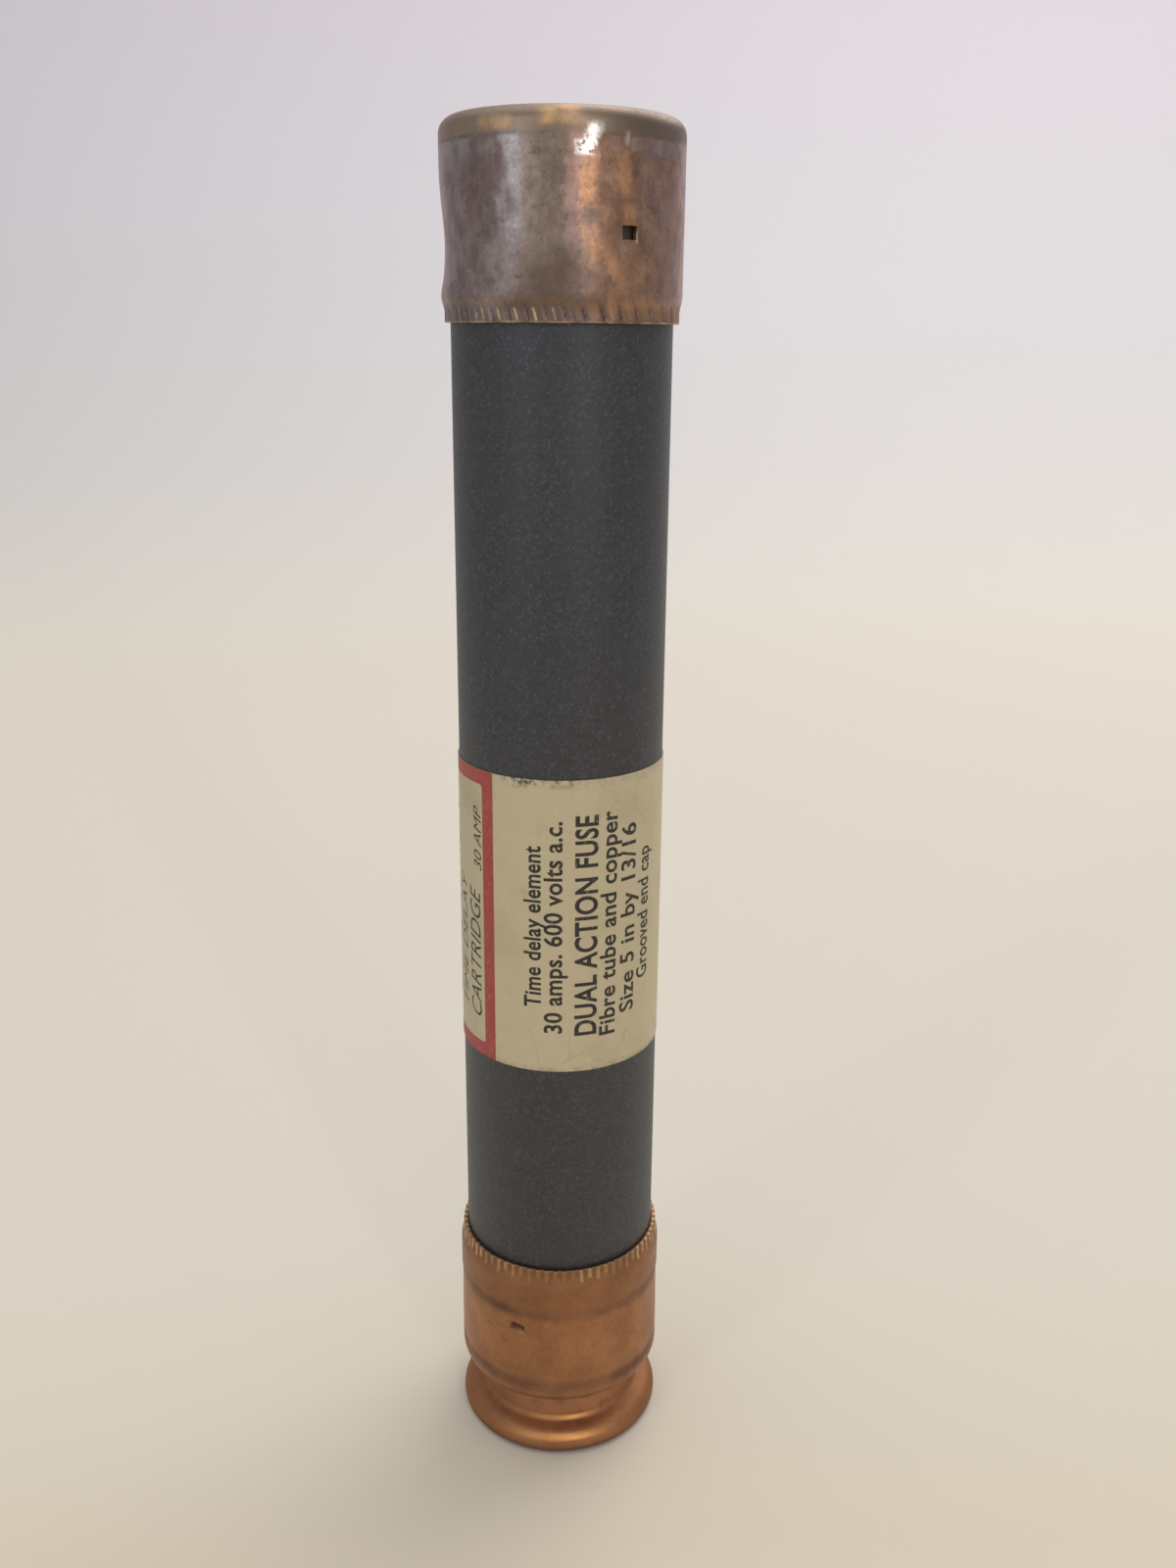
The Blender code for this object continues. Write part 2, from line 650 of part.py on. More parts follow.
def main():
    """Build the fuse."""
    clear_scene()
    parts = new_collection("cartridge_fuse")
    cutters = new_collection("cutters")
    add_tube(parts)
    add_upper_ferrule(parts, cutters)
    add_lower_ferrule(parts, cutters)
    add_label(parts)
    add_end_washers(parts, cutters)
    add_solder_beads(parts, cutters)
    add_links(parts)
    add_fillers(parts, cutters)
    add_partitions(parts, cutters)
    add_sleeve(parts)
    add_heat_absorber(parts, cutters)
    add_heater_strip(parts)
    add_fusing_alloy(parts)
    add_spring_seat(parts)
    add_trigger_spring(parts)
    add_trigger_plunger(parts)
    add_contact_bush(parts, cutters)


main()
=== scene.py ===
"""Looks for a time-delay cartridge fuse: crimped ferrules, fibre tube, printed label and a studio.

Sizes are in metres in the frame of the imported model: +Z runs up the fuse and -Y faces the front.
A turn is an angle round the fuse in degrees, 0 at the front and 90 at +X.
"""

import math

import bmesh
import bpy
from bpy.props import FloatProperty, FloatVectorProperty, IntProperty, PointerProperty
from bpy.types import Operator, Panel, PropertyGroup
from mathutils import Matrix, Vector, noise


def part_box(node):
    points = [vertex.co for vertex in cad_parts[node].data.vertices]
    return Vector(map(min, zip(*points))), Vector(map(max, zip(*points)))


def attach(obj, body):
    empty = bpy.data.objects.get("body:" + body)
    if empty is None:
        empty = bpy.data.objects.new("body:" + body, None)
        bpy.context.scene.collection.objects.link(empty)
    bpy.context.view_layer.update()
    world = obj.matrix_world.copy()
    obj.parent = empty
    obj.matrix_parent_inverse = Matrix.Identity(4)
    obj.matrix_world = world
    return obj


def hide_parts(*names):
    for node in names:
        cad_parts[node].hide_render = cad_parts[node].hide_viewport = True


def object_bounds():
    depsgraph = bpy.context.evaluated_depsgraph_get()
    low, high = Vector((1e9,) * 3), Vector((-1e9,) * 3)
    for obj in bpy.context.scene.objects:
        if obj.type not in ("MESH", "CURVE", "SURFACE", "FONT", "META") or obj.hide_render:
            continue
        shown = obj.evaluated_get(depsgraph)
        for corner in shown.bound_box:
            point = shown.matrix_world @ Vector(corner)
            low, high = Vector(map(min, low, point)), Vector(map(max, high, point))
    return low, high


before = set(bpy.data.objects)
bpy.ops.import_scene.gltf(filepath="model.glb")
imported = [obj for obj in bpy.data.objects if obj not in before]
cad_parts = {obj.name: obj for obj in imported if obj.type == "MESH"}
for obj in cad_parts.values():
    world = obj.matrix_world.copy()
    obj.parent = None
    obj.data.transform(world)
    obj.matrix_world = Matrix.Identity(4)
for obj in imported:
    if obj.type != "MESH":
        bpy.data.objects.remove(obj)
CAD_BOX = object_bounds()

bl_info = {
    "name": "Cartridge Fuse",
    "version": (1, 0, 0),
    "blender": (4, 5, 0),
    "location": "View3D > Sidebar > Fuse",
    "description": "Builds the visible pieces and finishes of a cartridge fuse",
    "category": "Object",
}

MM = 0.001
FERRULE_STEPS = 432  # round a ferrule: six for each tooth of the grooved one's lip
TUBE_STEPS = 288
WEDGES = 8  # a turned piece is spun as one of these and copied round
CORNER_STEPS = 7  # in a rounded corner of a ferrule's section
SMALL_CORNER_STEPS = 4
CURVE_STEPS = 32  # where the studio's floor turns up
SHEET_STEP = 0.25 * MM  # flat shapes are divided this finely before they are wrapped
WELD = 1e-7
CAP_SHARE = 0.682  # height of a capital letter for a text size of 1
NODE_TUBE = "fuse_tube"
NODE_PLAIN = "upper_ferrule"
NODE_GROOVED = "lower_ferrule"
NODE_LABEL = "label"

WINDOW_TURN = 31.25  # the plain ferrule's small window
WINDOW_HALF = 3.75
WINDOW_LEVELS = (117.30 * MM, 118.35 * MM)
STAKE_TURN = -24.7  # the grooved ferrule's punch mark
STAKE_LEVEL = 15.0 * MM
CRIMP_SLANT = 1.6  # degrees that the plain ferrule's marks lean in a millimetre
DENT_TURN = -90.0  # the plain ferrule's dent
PLAIN_ROUND = 1.3 * MM  # of the plain ferrule's upper edge
NECK_DEPTH = 2.3 * MM  # of the rejection groove
LABEL_SEAM = 110.0  # the turn where the label begins and its far end climbs over it
LABEL_LAP = 14.0
LABEL_GAP = 0.02 * MM  # between the tube and the label

# Label lines: text, turn of the baseline, first and last height, capital height, weight and slant.
FRONT_LINES = (
    ("Time delay element", -11.0, 50.7, 66.6, 1.54, 0.022, 0.0),
    ("30 amps. 600 volts a.c.", 0.7, 48.1, 69.0, 1.60, 0.022, 0.0),
    ("DUAL ACTION FUSE", 20.1, 47.8, 69.5, 2.00, 0.026, 0.0),
    ("Fibre tube and copper", 31.7, 47.5, 69.7, 1.58, 0.020, 0.0),
    ("Size 5 in by 13/16", 45.0, 49.3, 68.1, 1.66, 0.018, 0.0),
    ("Grooved end cap", 57.4, 52.1, 65.3, 1.60, 0.018, 0.0),
)
BORDER_LINES = (
    ("CARTRIDGE", -50.6, 48.0, 61.1, 1.75, -0.004, 0.3),
    ("30 AMP", -49.0, 63.0, 69.2, 1.15, -0.004, 0.3),
    ("TIME DELAY", -66.0, 48.4, 61.9, 1.30, -0.004, 0.3),
)
REAR_LINES = (
    ("DUAL ACTION", -82.0, 48.4, 68.6, 2.4, 0.024, 0.3),
    ("30", -103.0, 54.5, 62.5, 5.2, 0.024, 0.0),
    ("Amperes", -139.0, 50.5, 66.5, 2.3, 0.022, 0.0),
    ("600 volts a.c.", -162.0, 50.5, 66.5, 1.7, 0.012, 0.0),
    ("or less", -179.0, 54.5, 62.5, 1.5, 0.012, 0.0),
)

# The turns at which the two long sides of the label's border run.
BORDER_TURNS = (-201.4, -39.4)

# Lamps: name, place, size, watts and colour.
LAMPS = (
    ("key", (0.44, 0.58, 0.85), (0.8, 0.8), 4.7, (1.0, 0.97, 0.94)),
    ("overhead", (-0.1, 0.2, 1.1), (1.2, 1.2), 3.1, (1.0, 0.985, 0.97)),
    ("front", (0.05, -0.32, 0.40), (0.08, 0.06), 0.06, (1.0, 0.93, 0.85)),
    ("warm_strip", (0.22, -0.50, 0.24), (0.035, 0.26), 0.31, (1.0, 0.95, 0.91)),
    ("cool_strip", (-0.36, -0.42, 0.24), (0.05, 0.26), 0.26, (0.88, 0.94, 1.0)),
)
ROOM_COLOR = (0.93, 0.96, 1.0, 1.0)
ROOM_STRENGTH = 0.46

CAMERA_PLACE = (0, -127.5 * MM, 110.5 * MM)
CAMERA_FORWARD = (0.01928, 0.95166, -0.30655)
CAMERA_UP = (-0.00256, 0.30665, 0.95182)
CAMERA_LENS = 32.35  # in millimetres, as is the sensor's width
CAMERA_SENSOR = 36
CAMERA_CLIP = (0.01, 10)


# ---------------------------------------------------------------- settings


def color_property(name, description, color):
    """A colour that shows as a swatch in the sidebar."""
    return FloatVectorProperty(
        name=name, description=description, default=color, subtype="COLOR", size=3, min=0, max=1
    )


def length_property(name, description, millimetres):
    """A length that shows with its unit in the sidebar."""
    return FloatProperty(
        name=name, description=description, default=millimetres * MM, unit="LENGTH", precision=6
    )


class FuseSizes(PropertyGroup):
    """Sizes that a user would change."""

    ferrule_wall: length_property("Ferrule wall", "Thickness of the pressed ferrules", 0.5)
    tube_wall: length_property("Tube wall", "Thickness of the fibre tube", 2.3)
    lip_pinch: length_property("Lip pinch", "How far the crimped lips close in", 0.24)
    tooth_depth: length_property("Tooth depth", "Depth of the marks along the lips", 0.15)
    dent_depth: length_property("Dent depth", "Depth of the plain ferrule's dent", 0.42)
    stake_depth: length_property("Stake depth", "Depth of the grooved ferrule's punch mark", 0.32)
    ripple: length_property("Ripple", "Unevenness of the ferrules' walls", 0.035)
    paper: length_property("Paper", "Thickness of the label", 0.09)
    ink: length_property("Ink", "Height of the printing above the paper", 0.008)
    border: length_property("Border", "Width of the label's border", 1.38)
    crimp_teeth: IntProperty(
        name="Crimp teeth", description="Gaps pressed round the grooved ferrule's lip", default=72
    )
    crimp_marks: IntProperty(
        name="Crimp marks", description="Marks pressed round the plain ferrule's lip", default=40
    )


class FuseColours(PropertyGroup):
    """Colours that a user would change."""

    fibre: color_property("Fibre", "Fibre tube", (0.0150, 0.0172, 0.0245))
    paper: color_property("Paper", "Label stock", (0.60, 0.52, 0.345))
    black_ink: color_property("Black ink", "Lettering", (0.030, 0.029, 0.025))
    red_ink: color_property("Red ink", "Label border", (0.38, 0.066, 0.056))
    copper: color_property("Copper", "Clean copper of the grooved ferrule", (0.45, 0.225, 0.115))
    # Brown also paints the shade on the sides of the grooved ferrule's lower end.
    brown: color_property("Brown", "Oxide on the copper", (0.20, 0.10, 0.06))
    tarnish: color_property("Tarnish", "Grey tarnish of the plain ferrule", (0.332, 0.272, 0.265))
    bronze: color_property("Bronze", "Heat tint of the plain ferrule", (0.42, 0.24, 0.155))
    floor: color_property("Floor", "Studio floor", (0.77, 0.717, 0.605))
    wall: color_property("Wall", "Studio wall", (0.755, 0.74, 0.765))


# ---------------------------------------------------------------- shader maths


class Value:
    """A socket of a node tree; the plain operators on it add Math nodes."""

    def __init__(self, paint, socket):
        self.paint = paint
        self.socket = socket

    def math(self, operation, *values, **settings):
        """The result of a Math node on some values."""
        settings["operation"] = operation
        return self.paint.node("Math", settings, dict(enumerate(values)))

    def __add__(self, other):
        return self.math("ADD", self, other)

    __radd__ = __add__

    def __sub__(self, other):
        return self.math("SUBTRACT", self, other)

    def __rsub__(self, other):
        return self.math("SUBTRACT", other, self)

    def __mul__(self, other):
        return self.math("MULTIPLY", self, other)

    __rmul__ = __mul__

    def __abs__(self):
        return self.math("ABSOLUTE", self)

    def clamped(self):
        """The value held between 0 and 1."""
        return self.math("ADD", self, 0.0, use_clamp=True)


class Paint:
    """A material being built, with one method for any node and a few for common masks."""

    def __init__(self, name, roughness=0.5, metallic=0.0, specular=0.5):
        self.material = bpy.data.materials.new(name)
        self.material.use_nodes = True
        self.tree = self.material.node_tree
        self.shader = self.tree.nodes["Principled BSDF"]
        self.shader.inputs["Roughness"].default_value = roughness
        self.shader.inputs["Metallic"].default_value = metallic
        self.shader.inputs["Specular IOR Level"].default_value = specular
        self.place = self.node("TexCoord", {}, {}, "Object")
        self.x, self.y, self.z = (
            self.node("SeparateXYZ", {}, {0: self.place}, axis) for axis in "XYZ"
        )

    def node(self, kind, settings, values, output=0):
        """A shader node with its settings made first, then its sockets' values or links."""
        node = self.tree.nodes.new("ShaderNode" + kind)
        for key, setting in settings.items():
            setattr(node, key, setting)
        for key, value in values.items():
            if isinstance(value, Value):
                self.tree.links.new(value.socket, node.inputs[key])
            else:
                node.inputs[key].default_value = value
        return Value(self, node.outputs[output])

    def link(self, socket, value):
        """Link a value to one of the shader's sockets."""
        self.tree.links.new(value.socket, self.shader.inputs[socket])

    def mix(self, factor, one, two):
        """One colour turning into another as the factor goes from 0 to 1."""
        one, two = (c if isinstance(c, Value) else (*c, 1.0) for c in (one, two))
        return self.node("Mix", {"data_type": "RGBA"}, {0: factor, 6: one, 7: two}, 2)

    def noise(self, size, detail=3.0, roughness=0.55, tall=1.0):
        """Noise round 0.5 with blots of about the size; tall stretches them up the fuse."""
        vector = self.node("Mapping", {}, {"Vector": self.place, "Scale": (1, 1, 1 / tall)})
        values = {"Vector": vector, "Scale": 1 / size, "Detail": detail, "Roughness": roughness}
        return self.node("TexNoise", {}, values)

    def grains(self, size):
        """Cells of about the size, each with its own value from 0 to 1."""
        cells = self.node("TexVoronoi", {}, {"Vector": self.place, "Scale": 1 / size}, "Color")
        return self.node("SeparateColor", {}, {0: cells})

    def fade(self, value, start, end):
        """0 at start, 1 at end and smooth between, whichever of the two is greater."""
        low, high = (0.0, 1.0) if start < end else (1.0, 0.0)
        values = {0: value, 1: min(start, end), 2: max(start, end), 3: low, 4: high}
        return self.node("MapRange", {"interpolation_type": "SMOOTHSTEP"}, values)

    def band(self, value, centre, half, soft):
        """1 within half of the centre, fading out over soft beyond it."""
        return self.fade(abs(value - centre), half + soft, half)

    def ring(self, level, half, soft):
        """A ring at a level up the fuse, all in millimetres."""
        return self.band(self.z, level * MM, half * MM, soft * MM)

    def rise(self, start, end):
        """0 at one height and 1 at the other, both in millimetres."""
        return self.fade(self.z, start * MM, end * MM)

    def repeat(self, value, period):
        """The value's place within a period that it passes again and again."""
        return value.math("FLOORED_MODULO", value, period)

    def turn(self):
        """The angle round the fuse in degrees, from -180 to 180."""
        return self.x.math("ARCTAN2", self.x, self.y * -1.0) * math.degrees(1)

    def bump(self, value, depth):
        """Raise the surface by the value times a depth."""
        self.link("Normal", self.node("Bump", {}, {"Height": value, "Distance": depth}, "Normal"))


def colour(name):
    """One of the scene's fuse colours."""
    return tuple(getattr(bpy.context.scene.fuse_colours, name))


def scaled(color, share):
    """A colour made lighter or darker by a share."""
    return tuple(min(channel * share, 1.0) for channel in color)


# ---------------------------------------------------------------- finishes


def fibre_paint():
    """Vulcanised fibre: dark grey and matt, with faint flecks and soft clouding."""
    paint = Paint("fibre_casing", 0.6, specular=0.85)
    base = colour("fibre")
    flecks = paint.noise(0.4 * MM, detail=6, roughness=0.75)
    cells = paint.grains(0.2 * MM)
    body = paint.mix(paint.fade(flecks, 0.40, 0.60), scaled(base, 0.45), scaled(base, 1.5))
    clouds = paint.fade(paint.noise(4.0 * MM, detail=4), 0.35, 0.7)
    body = paint.mix(clouds * 0.4, body, scaled(base, 1.3))
    body = paint.mix(paint.fade(cells, 0.84, 0.96) * 0.6, body, scaled(base, 3.8))
    rubbed = paint.fade(paint.noise(1.4 * MM, detail=5, tall=5), 0.6, 0.78)
    body = paint.mix(rubbed * 0.35, body, scaled(base, 2.2))
    behind_window = paint.rise(112.0, 113.0)
    body = paint.mix(behind_window, body, (0.05, 0.022, 0.016))
    paint.link("Base Color", body)
    paint.link("Roughness", 0.42 + 0.18 * flecks)
    paint.bump(flecks + 0.4 * cells, 0.01 * MM)
    return paint.material


def paper_paint():
    """Aged label stock with fine fibres, folds, thumb marks and dirt along both edges."""
    paint = Paint("label_paper", 0.5, specular=0.4)
    low, high = (corner.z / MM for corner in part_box(NODE_LABEL))
    base = colour("paper")
    fibres = paint.noise(0.35 * MM, detail=5, roughness=0.7, tall=2.5)
    body = paint.mix(fibres, scaled(base, 0.92), scaled(base, 1.08))
    stains = paint.fade(paint.noise(6.0 * MM, detail=4), 0.5, 0.75)
    body = paint.mix(stains * 0.3, body, (0.40, 0.33, 0.19))
    marks = paint.fade(paint.noise(0.5 * MM, detail=2), 0.68, 0.78) * 0.25
    marks = marks + paint.fade(paint.noise(2.6 * MM, detail=5), 0.6, 0.72) * 0.14
    body = paint.mix(marks.clamped(), body, (0.20, 0.17, 0.11))
    grime = paint.fade(paint.noise(0.7 * MM, detail=6, roughness=0.7), 0.42, 0.6)
    turn = paint.turn()
    thumbed = paint.band(turn, -20.0, 5.0, 9.0) + 0.6 * paint.band(turn, 0.0, 3.0, 7.0)
    folds = paint.band(paint.noise(7.0 * MM, detail=2), 0.5, 0.002, 0.009)
    folds = folds * (paint.rise(low + 6.0, low + 2.0) + paint.rise(high - 6.0, high - 3.0))
    body = paint.mix(folds.clamped() * 0.22, body, (0.30, 0.27, 0.19))
    # Painted shade: the label darkens towards its left side.
    body = paint.mix(paint.fade(turn, -38.0, -60.0) * 0.15, body, (0.20, 0.20, 0.18))
    edges = paint.rise(high - 1.1, high) * (0.25 + thumbed) + paint.rise(low + 0.7, low) * 0.35
    body = paint.mix((edges * grime).clamped(), body, (0.10, 0.095, 0.075))
    paint.link("Base Color", body)
    paint.link("Roughness", 0.42 + 0.22 * fibres)
    paint.bump(fibres, 0.006 * MM)
    return paint.material


def ink_paint(name, base):
    """Printing ink, rubbed thin in places so that the paper shows through."""
    paint = Paint(name, 0.5, specular=0.4)
    scuffs = paint.noise(0.30 * MM, detail=4, roughness=0.7, tall=1.6)
    body = paint.mix(paint.noise(1.2 * MM), scaled(base, 0.8), scaled(base, 1.25))
    body = paint.mix(paint.fade(scuffs, 0.56, 0.74) * 0.6, body, scaled(colour("paper"), 0.75))
    paint.link("Base Color", body)
    paint.link("Roughness", 0.42 + 0.2 * scuffs)
    return paint.material


def copper_paint():
    """The grooved ferrule: copper dulled brown and ringed by two dark bands, with painted light and
    highlights.
    """
    paint = Paint("grooved_copper", 0.4, 1.0)
    copper, brown = colour("copper"), colour("brown")
    turn = paint.turn()
    fine = paint.noise(0.45 * MM, detail=5, roughness=0.7)
    drawn = paint.noise(0.35 * MM, detail=3, tall=9)
    blots = paint.fade(paint.noise(3.0 * MM, detail=5), 0.35, 0.68)
    body = paint.mix(blots, copper, scaled(copper, 0.8))
    body = paint.mix(paint.fade(fine, 0.45, 0.7) * 0.3, body, brown)
    body = paint.mix(paint.rise(16.6, 17.4) * 0.35, body, brown)
    body = paint.mix(paint.fade(turn, -18.0, -48.0) * paint.rise(14.0, 18.0) * 0.3, body, brown)
    # Two dark bands round the ferrule at 16.8 and 8.4 mm, fainter near the front.
    level = paint.z + (paint.noise(1.6 * MM, detail=4) - 0.5) * (0.7 * MM)
    rings = paint.band(level, 16.8 * MM, 0.1 * MM, 0.9 * MM) * 0.75
    rings = rings + paint.band(level, 8.4 * MM, 0.1 * MM, 1.0 * MM) * 0.75
    side = 0.45 + 0.55 * paint.fade(abs(turn - 5.0), 12.0, 40.0)
    dull = (rings * side * (0.6 + 0.4 * blots)).clamped()
    body = paint.mix(dull, body, (0.125, 0.075, 0.07))
    stains = paint.ring(4.4, 1.6, 1.2) * paint.fade(paint.noise(1.5 * MM, detail=5), 0.55, 0.68)
    body = paint.mix(stains * 0.6, body, (0.12, 0.065, 0.05))
    # Painted light: the flange is painted a lighter orange below 3.9 mm.
    flange = paint.rise(3.9, 2.7)
    body = paint.mix(flange * 0.5, body, (0.50, 0.225, 0.09))
    # Painted light: the neck is painted lighter round 4.3 mm.
    body = paint.mix(paint.ring(4.3, 0.7, 1.0) * 0.3, body, (0.80, 0.44, 0.25))
    # Painted highlights: two bright orange rings on the flange near the front.
    painted_highlight = paint.ring(1.85, 0.08, 0.32) * paint.band(turn, 2.0, 9.0, 30.0)
    painted_highlight = painted_highlight + 0.8 * paint.ring(2.85, 0.08, 0.22) * paint.band(turn, 5.0, 5.0, 26.0)
    painted_highlight = painted_highlight.clamped() * (0.6 + 0.4 * blots)
    body = paint.mix(painted_highlight * 0.8, body, (0.92, 0.44, 0.15))
    body = paint.mix(paint.rise(1.2, 0.6) * 0.7, body, (0.22, 0.15, 0.14))
    pitch = 360 / bpy.context.scene.fuse_sizes.crimp_teeth
    aside = paint.repeat(turn, pitch) - pitch / 2
    longer = paint.band(paint.repeat(turn, 2 * pitch), pitch / 2, 2.4, 0.2)
    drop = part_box(NODE_GROOVED)[1].z - paint.z + (fine - 0.5) * (0.5 * MM)
    reach = paint.fade(drop, 1.45 * MM, 1.15 * MM) * longer
    reach = (reach + paint.fade(drop, 1.05 * MM, 0.75 * MM)).clamped()
    lands = paint.fade(abs(aside) + (fine - 0.5) * 2.0, 1.7, 0.4) * reach
    # Painted highlights on the lip's lands, stronger in a few bands and towards the sides.
    glint_bands = paint.band(turn, -31.0, 5.0, 7.0) + paint.band(turn, 20.0, 5.0, 8.0)
    glint_bands = glint_bands + paint.fade(abs(turn), 45.0, 55.0) + 0.3 * paint.fade(fine, 0.4, 0.6)
    body = paint.mix(reach * 0.55, body, (0.22, 0.125, 0.065))
    bright = lands * (0.14 + 0.5 * glint_bands.clamped()) * (0.45 + 0.55 * blots)
    body = paint.mix(bright, body, (0.80, 0.54, 0.29))
    stake = paint.band(turn, STAKE_TURN, 3.2, 2.2) * paint.ring(STAKE_LEVEL / MM, 0.2, 0.35)
    body = paint.mix(stake * 0.85, body, (0.13, 0.045, 0.03))
    # Painted shade on the sides of the neck and flange.
    shaded = paint.fade(abs(turn - 6.0), 30.0, 56.0) * paint.rise(6.4, 5.6)
    body = paint.mix(shaded * 0.3, body, brown)
    paint.link("Base Color", body)
    rough = 0.36 + 0.14 * fine + 0.14 * dull + paint.rise(6.4, 5.6) * 0.18
    paint.link("Roughness", rough - 0.2 * painted_highlight - 0.08 * lands)
    paint.bump(0.6 * drawn + 0.5 * fine, 0.006 * MM)
    return paint.material


def tarnish_paint():
    """The plain ferrule: a heat-tinted alloy cap, clouded grey, purple and bronze, with painted
    light and shade.
    """
    paint = Paint("tarnished_alloy", 0.38, 1.0)
    turn = paint.turn()
    cloud = paint.noise(3.4 * MM, detail=6, roughness=0.6)
    smear = paint.noise(1.2 * MM, detail=6, roughness=0.65, tall=1.5)
    fine = paint.noise(0.35 * MM, detail=5, roughness=0.75)
    smoke = paint.fade(paint.noise(2.2 * MM, detail=6, roughness=0.62), 0.46, 0.62)
    drift = turn + (cloud - 0.5) * 26.0 + (smear - 0.5) * 16.0
    near = turn + (cloud - 0.5) * 9.0 + (smear - 0.5) * 11.0
    patchy = paint.fade(smear, 0.36, 0.64)
    body = tints_and_painted_light(paint, turn, drift, near, patchy, cloud)
    body = paint.mix(smoke * 0.32, body, (0.13, 0.085, 0.07))
    body = paint.mix(paint.fade(fine, 0.40, 0.62) * 0.16, body, (0.10, 0.07, 0.055))
    grime = paint.fade(paint.noise(1.0 * MM, detail=6, roughness=0.7), 0.55, 0.72)
    body = paint.mix(grime * 0.5, body, (0.11, 0.08, 0.07))
    body = rim_and_lip(paint, body, turn, near, patchy, cloud)
    # A solder splash below the rim, painted white as a glint, and a small painted glint (fleck)
    # beside it.
    foot = paint.band(near, 9.0, 4.5, 2.5) * paint.ring(123.8, 0.35, 0.35)
    spray = paint.band(near - (paint.z - 124.4 * MM) * (2.0 / MM), 11.0, 1.4, 4.0)
    spray = spray * paint.ring(124.6, 0.6, 0.7)
    broken = paint.fade(paint.noise(0.6 * MM, detail=5, roughness=0.7), 0.36, 0.50)
    fleck = paint.band(near, 30.0, 0.4, 1.4) * paint.ring(124.6, 0.2, 0.5) * 0.35
    # Painted highlight on the burr along the window's right edge.
    burr_highlight = paint.band(turn, WINDOW_TURN + WINDOW_HALF, 0.2, 0.7) * paint.ring(117.5, 0.2, 0.4)
    body = paint.mix(burr_highlight * 0.7, body, (0.85, 0.60, 0.42))
    solder_and_glint = ((foot + 0.75 * spray) * broken + fleck).clamped()
    body = paint.mix(solder_and_glint, body, (0.93, 0.89, 0.86))
    paint.link("Base Color", body)
    paint.link("Roughness", 0.34 + 0.22 * fine + 0.12 * grime - 0.22 * solder_and_glint)
    paint.bump(0.5 * smear + 0.4 * fine + 1.5 * solder_and_glint, 0.012 * MM)
    return paint.material


def tints_and_painted_light(paint, turn, drift, near, patchy, cloud):
    """The plain ferrule's colours from side to side, each fading into the next; some are painted
    light and shade.
    """
    tarnish, bronze = colour("tarnish"), colour("bronze")
    body = paint.mix(patchy, scaled(tarnish, 0.85), scaled(tarnish, 1.18))
    plum = paint.band(drift, -40.0, 5.0, 9.0) * paint.ring(121.5, 2.2, 2.6)
    body = paint.mix(plum * 0.6, body, (0.23, 0.15, 0.145))
    olive = paint.band(drift, -6.0, 7.0, 9.0)
    tone = paint.mix(patchy, (0.33, 0.25, 0.195), (0.42, 0.32, 0.265))
    body = paint.mix(olive * 0.85, body, tone)
    warm = paint.fade(drift, 8.0, 17.0)
    body = paint.mix(warm * 0.9, body, paint.mix(patchy, scaled(bronze, 0.8), scaled(bronze, 1.15)))
    grape = paint.band(drift, 54.0, 8.0, 10.0) * (0.4 + 0.6 * paint.fade(cloud, 0.42, 0.58))
    body = paint.mix(grape * 0.7, body, (0.36, 0.265, 0.27))
    # Painted sheen: lighter towards both edges of the cap as seen from the front.
    body = paint.mix(paint.fade(abs(turn), 60.0, 74.0) * 0.6, body, (0.60, 0.46, 0.45))
    # Painted reflection: a cool grey streak left of the front, brighter towards the top.
    cool_reflection = paint.band(near, -22.5, 3.0, 4.5) * (0.25 + 0.75 * patchy)
    cool_reflection = cool_reflection * (0.3 + 0.7 * paint.rise(114.5, 122.5)) * paint.rise(112.5, 115.5)
    body = paint.mix(cool_reflection, body, (0.54, 0.49, 0.495))
    # Painted reflection: a pink streak just right of the front, brighter towards the top.
    warm_reflection = paint.band(near, 5.5, 2.0, 3.5) * (0.2 + 0.8 * paint.rise(114.5, 122.5))
    body = paint.mix(warm_reflection * 0.8, body, (0.66, 0.40, 0.35))
    # Painted highlight: an orange streak right of the front, strongest in two rings.
    warm_highlight = paint.ring(121.9, 1.3, 1.6) + 0.65 * paint.ring(116.7, 0.9, 1.5)
    warm_highlight = paint.band(near, 11.5, 2.3, 2.8) * (0.12 + 0.8 * warm_highlight.clamped()) * (0.5 + 0.5 * patchy)
    body = paint.mix(warm_highlight.clamped(), body, (0.84, 0.45, 0.25))
    shade = paint.band(drift, -9.0, 11.0, 9.0) * paint.rise(118.0, 114.0)
    shade = (shade + 0.7 * paint.band(near, 10.0, 7.0, 6.0) * paint.rise(117.0, 113.8)).clamped()
    body = paint.mix(shade * 0.8, body, (0.20, 0.14, 0.115))
    licks = paint.band(near, 28.0, 1.2, 2.6) * paint.ring(122.3, 1.3, 0.9)
    licks = licks + paint.band(near, 31.0, 2.5, 3.0) * paint.ring(119.1, 0.4, 0.8)
    slanted = near + (paint.z - 115.4 * MM) * (2.2 / MM)
    licks = licks + paint.band(slanted, 22.5, 1.4, 2.4) * paint.ring(115.4, 1.2, 0.9)
    return paint.mix((licks * 0.7).clamped(), body, (0.68, 0.36, 0.20))


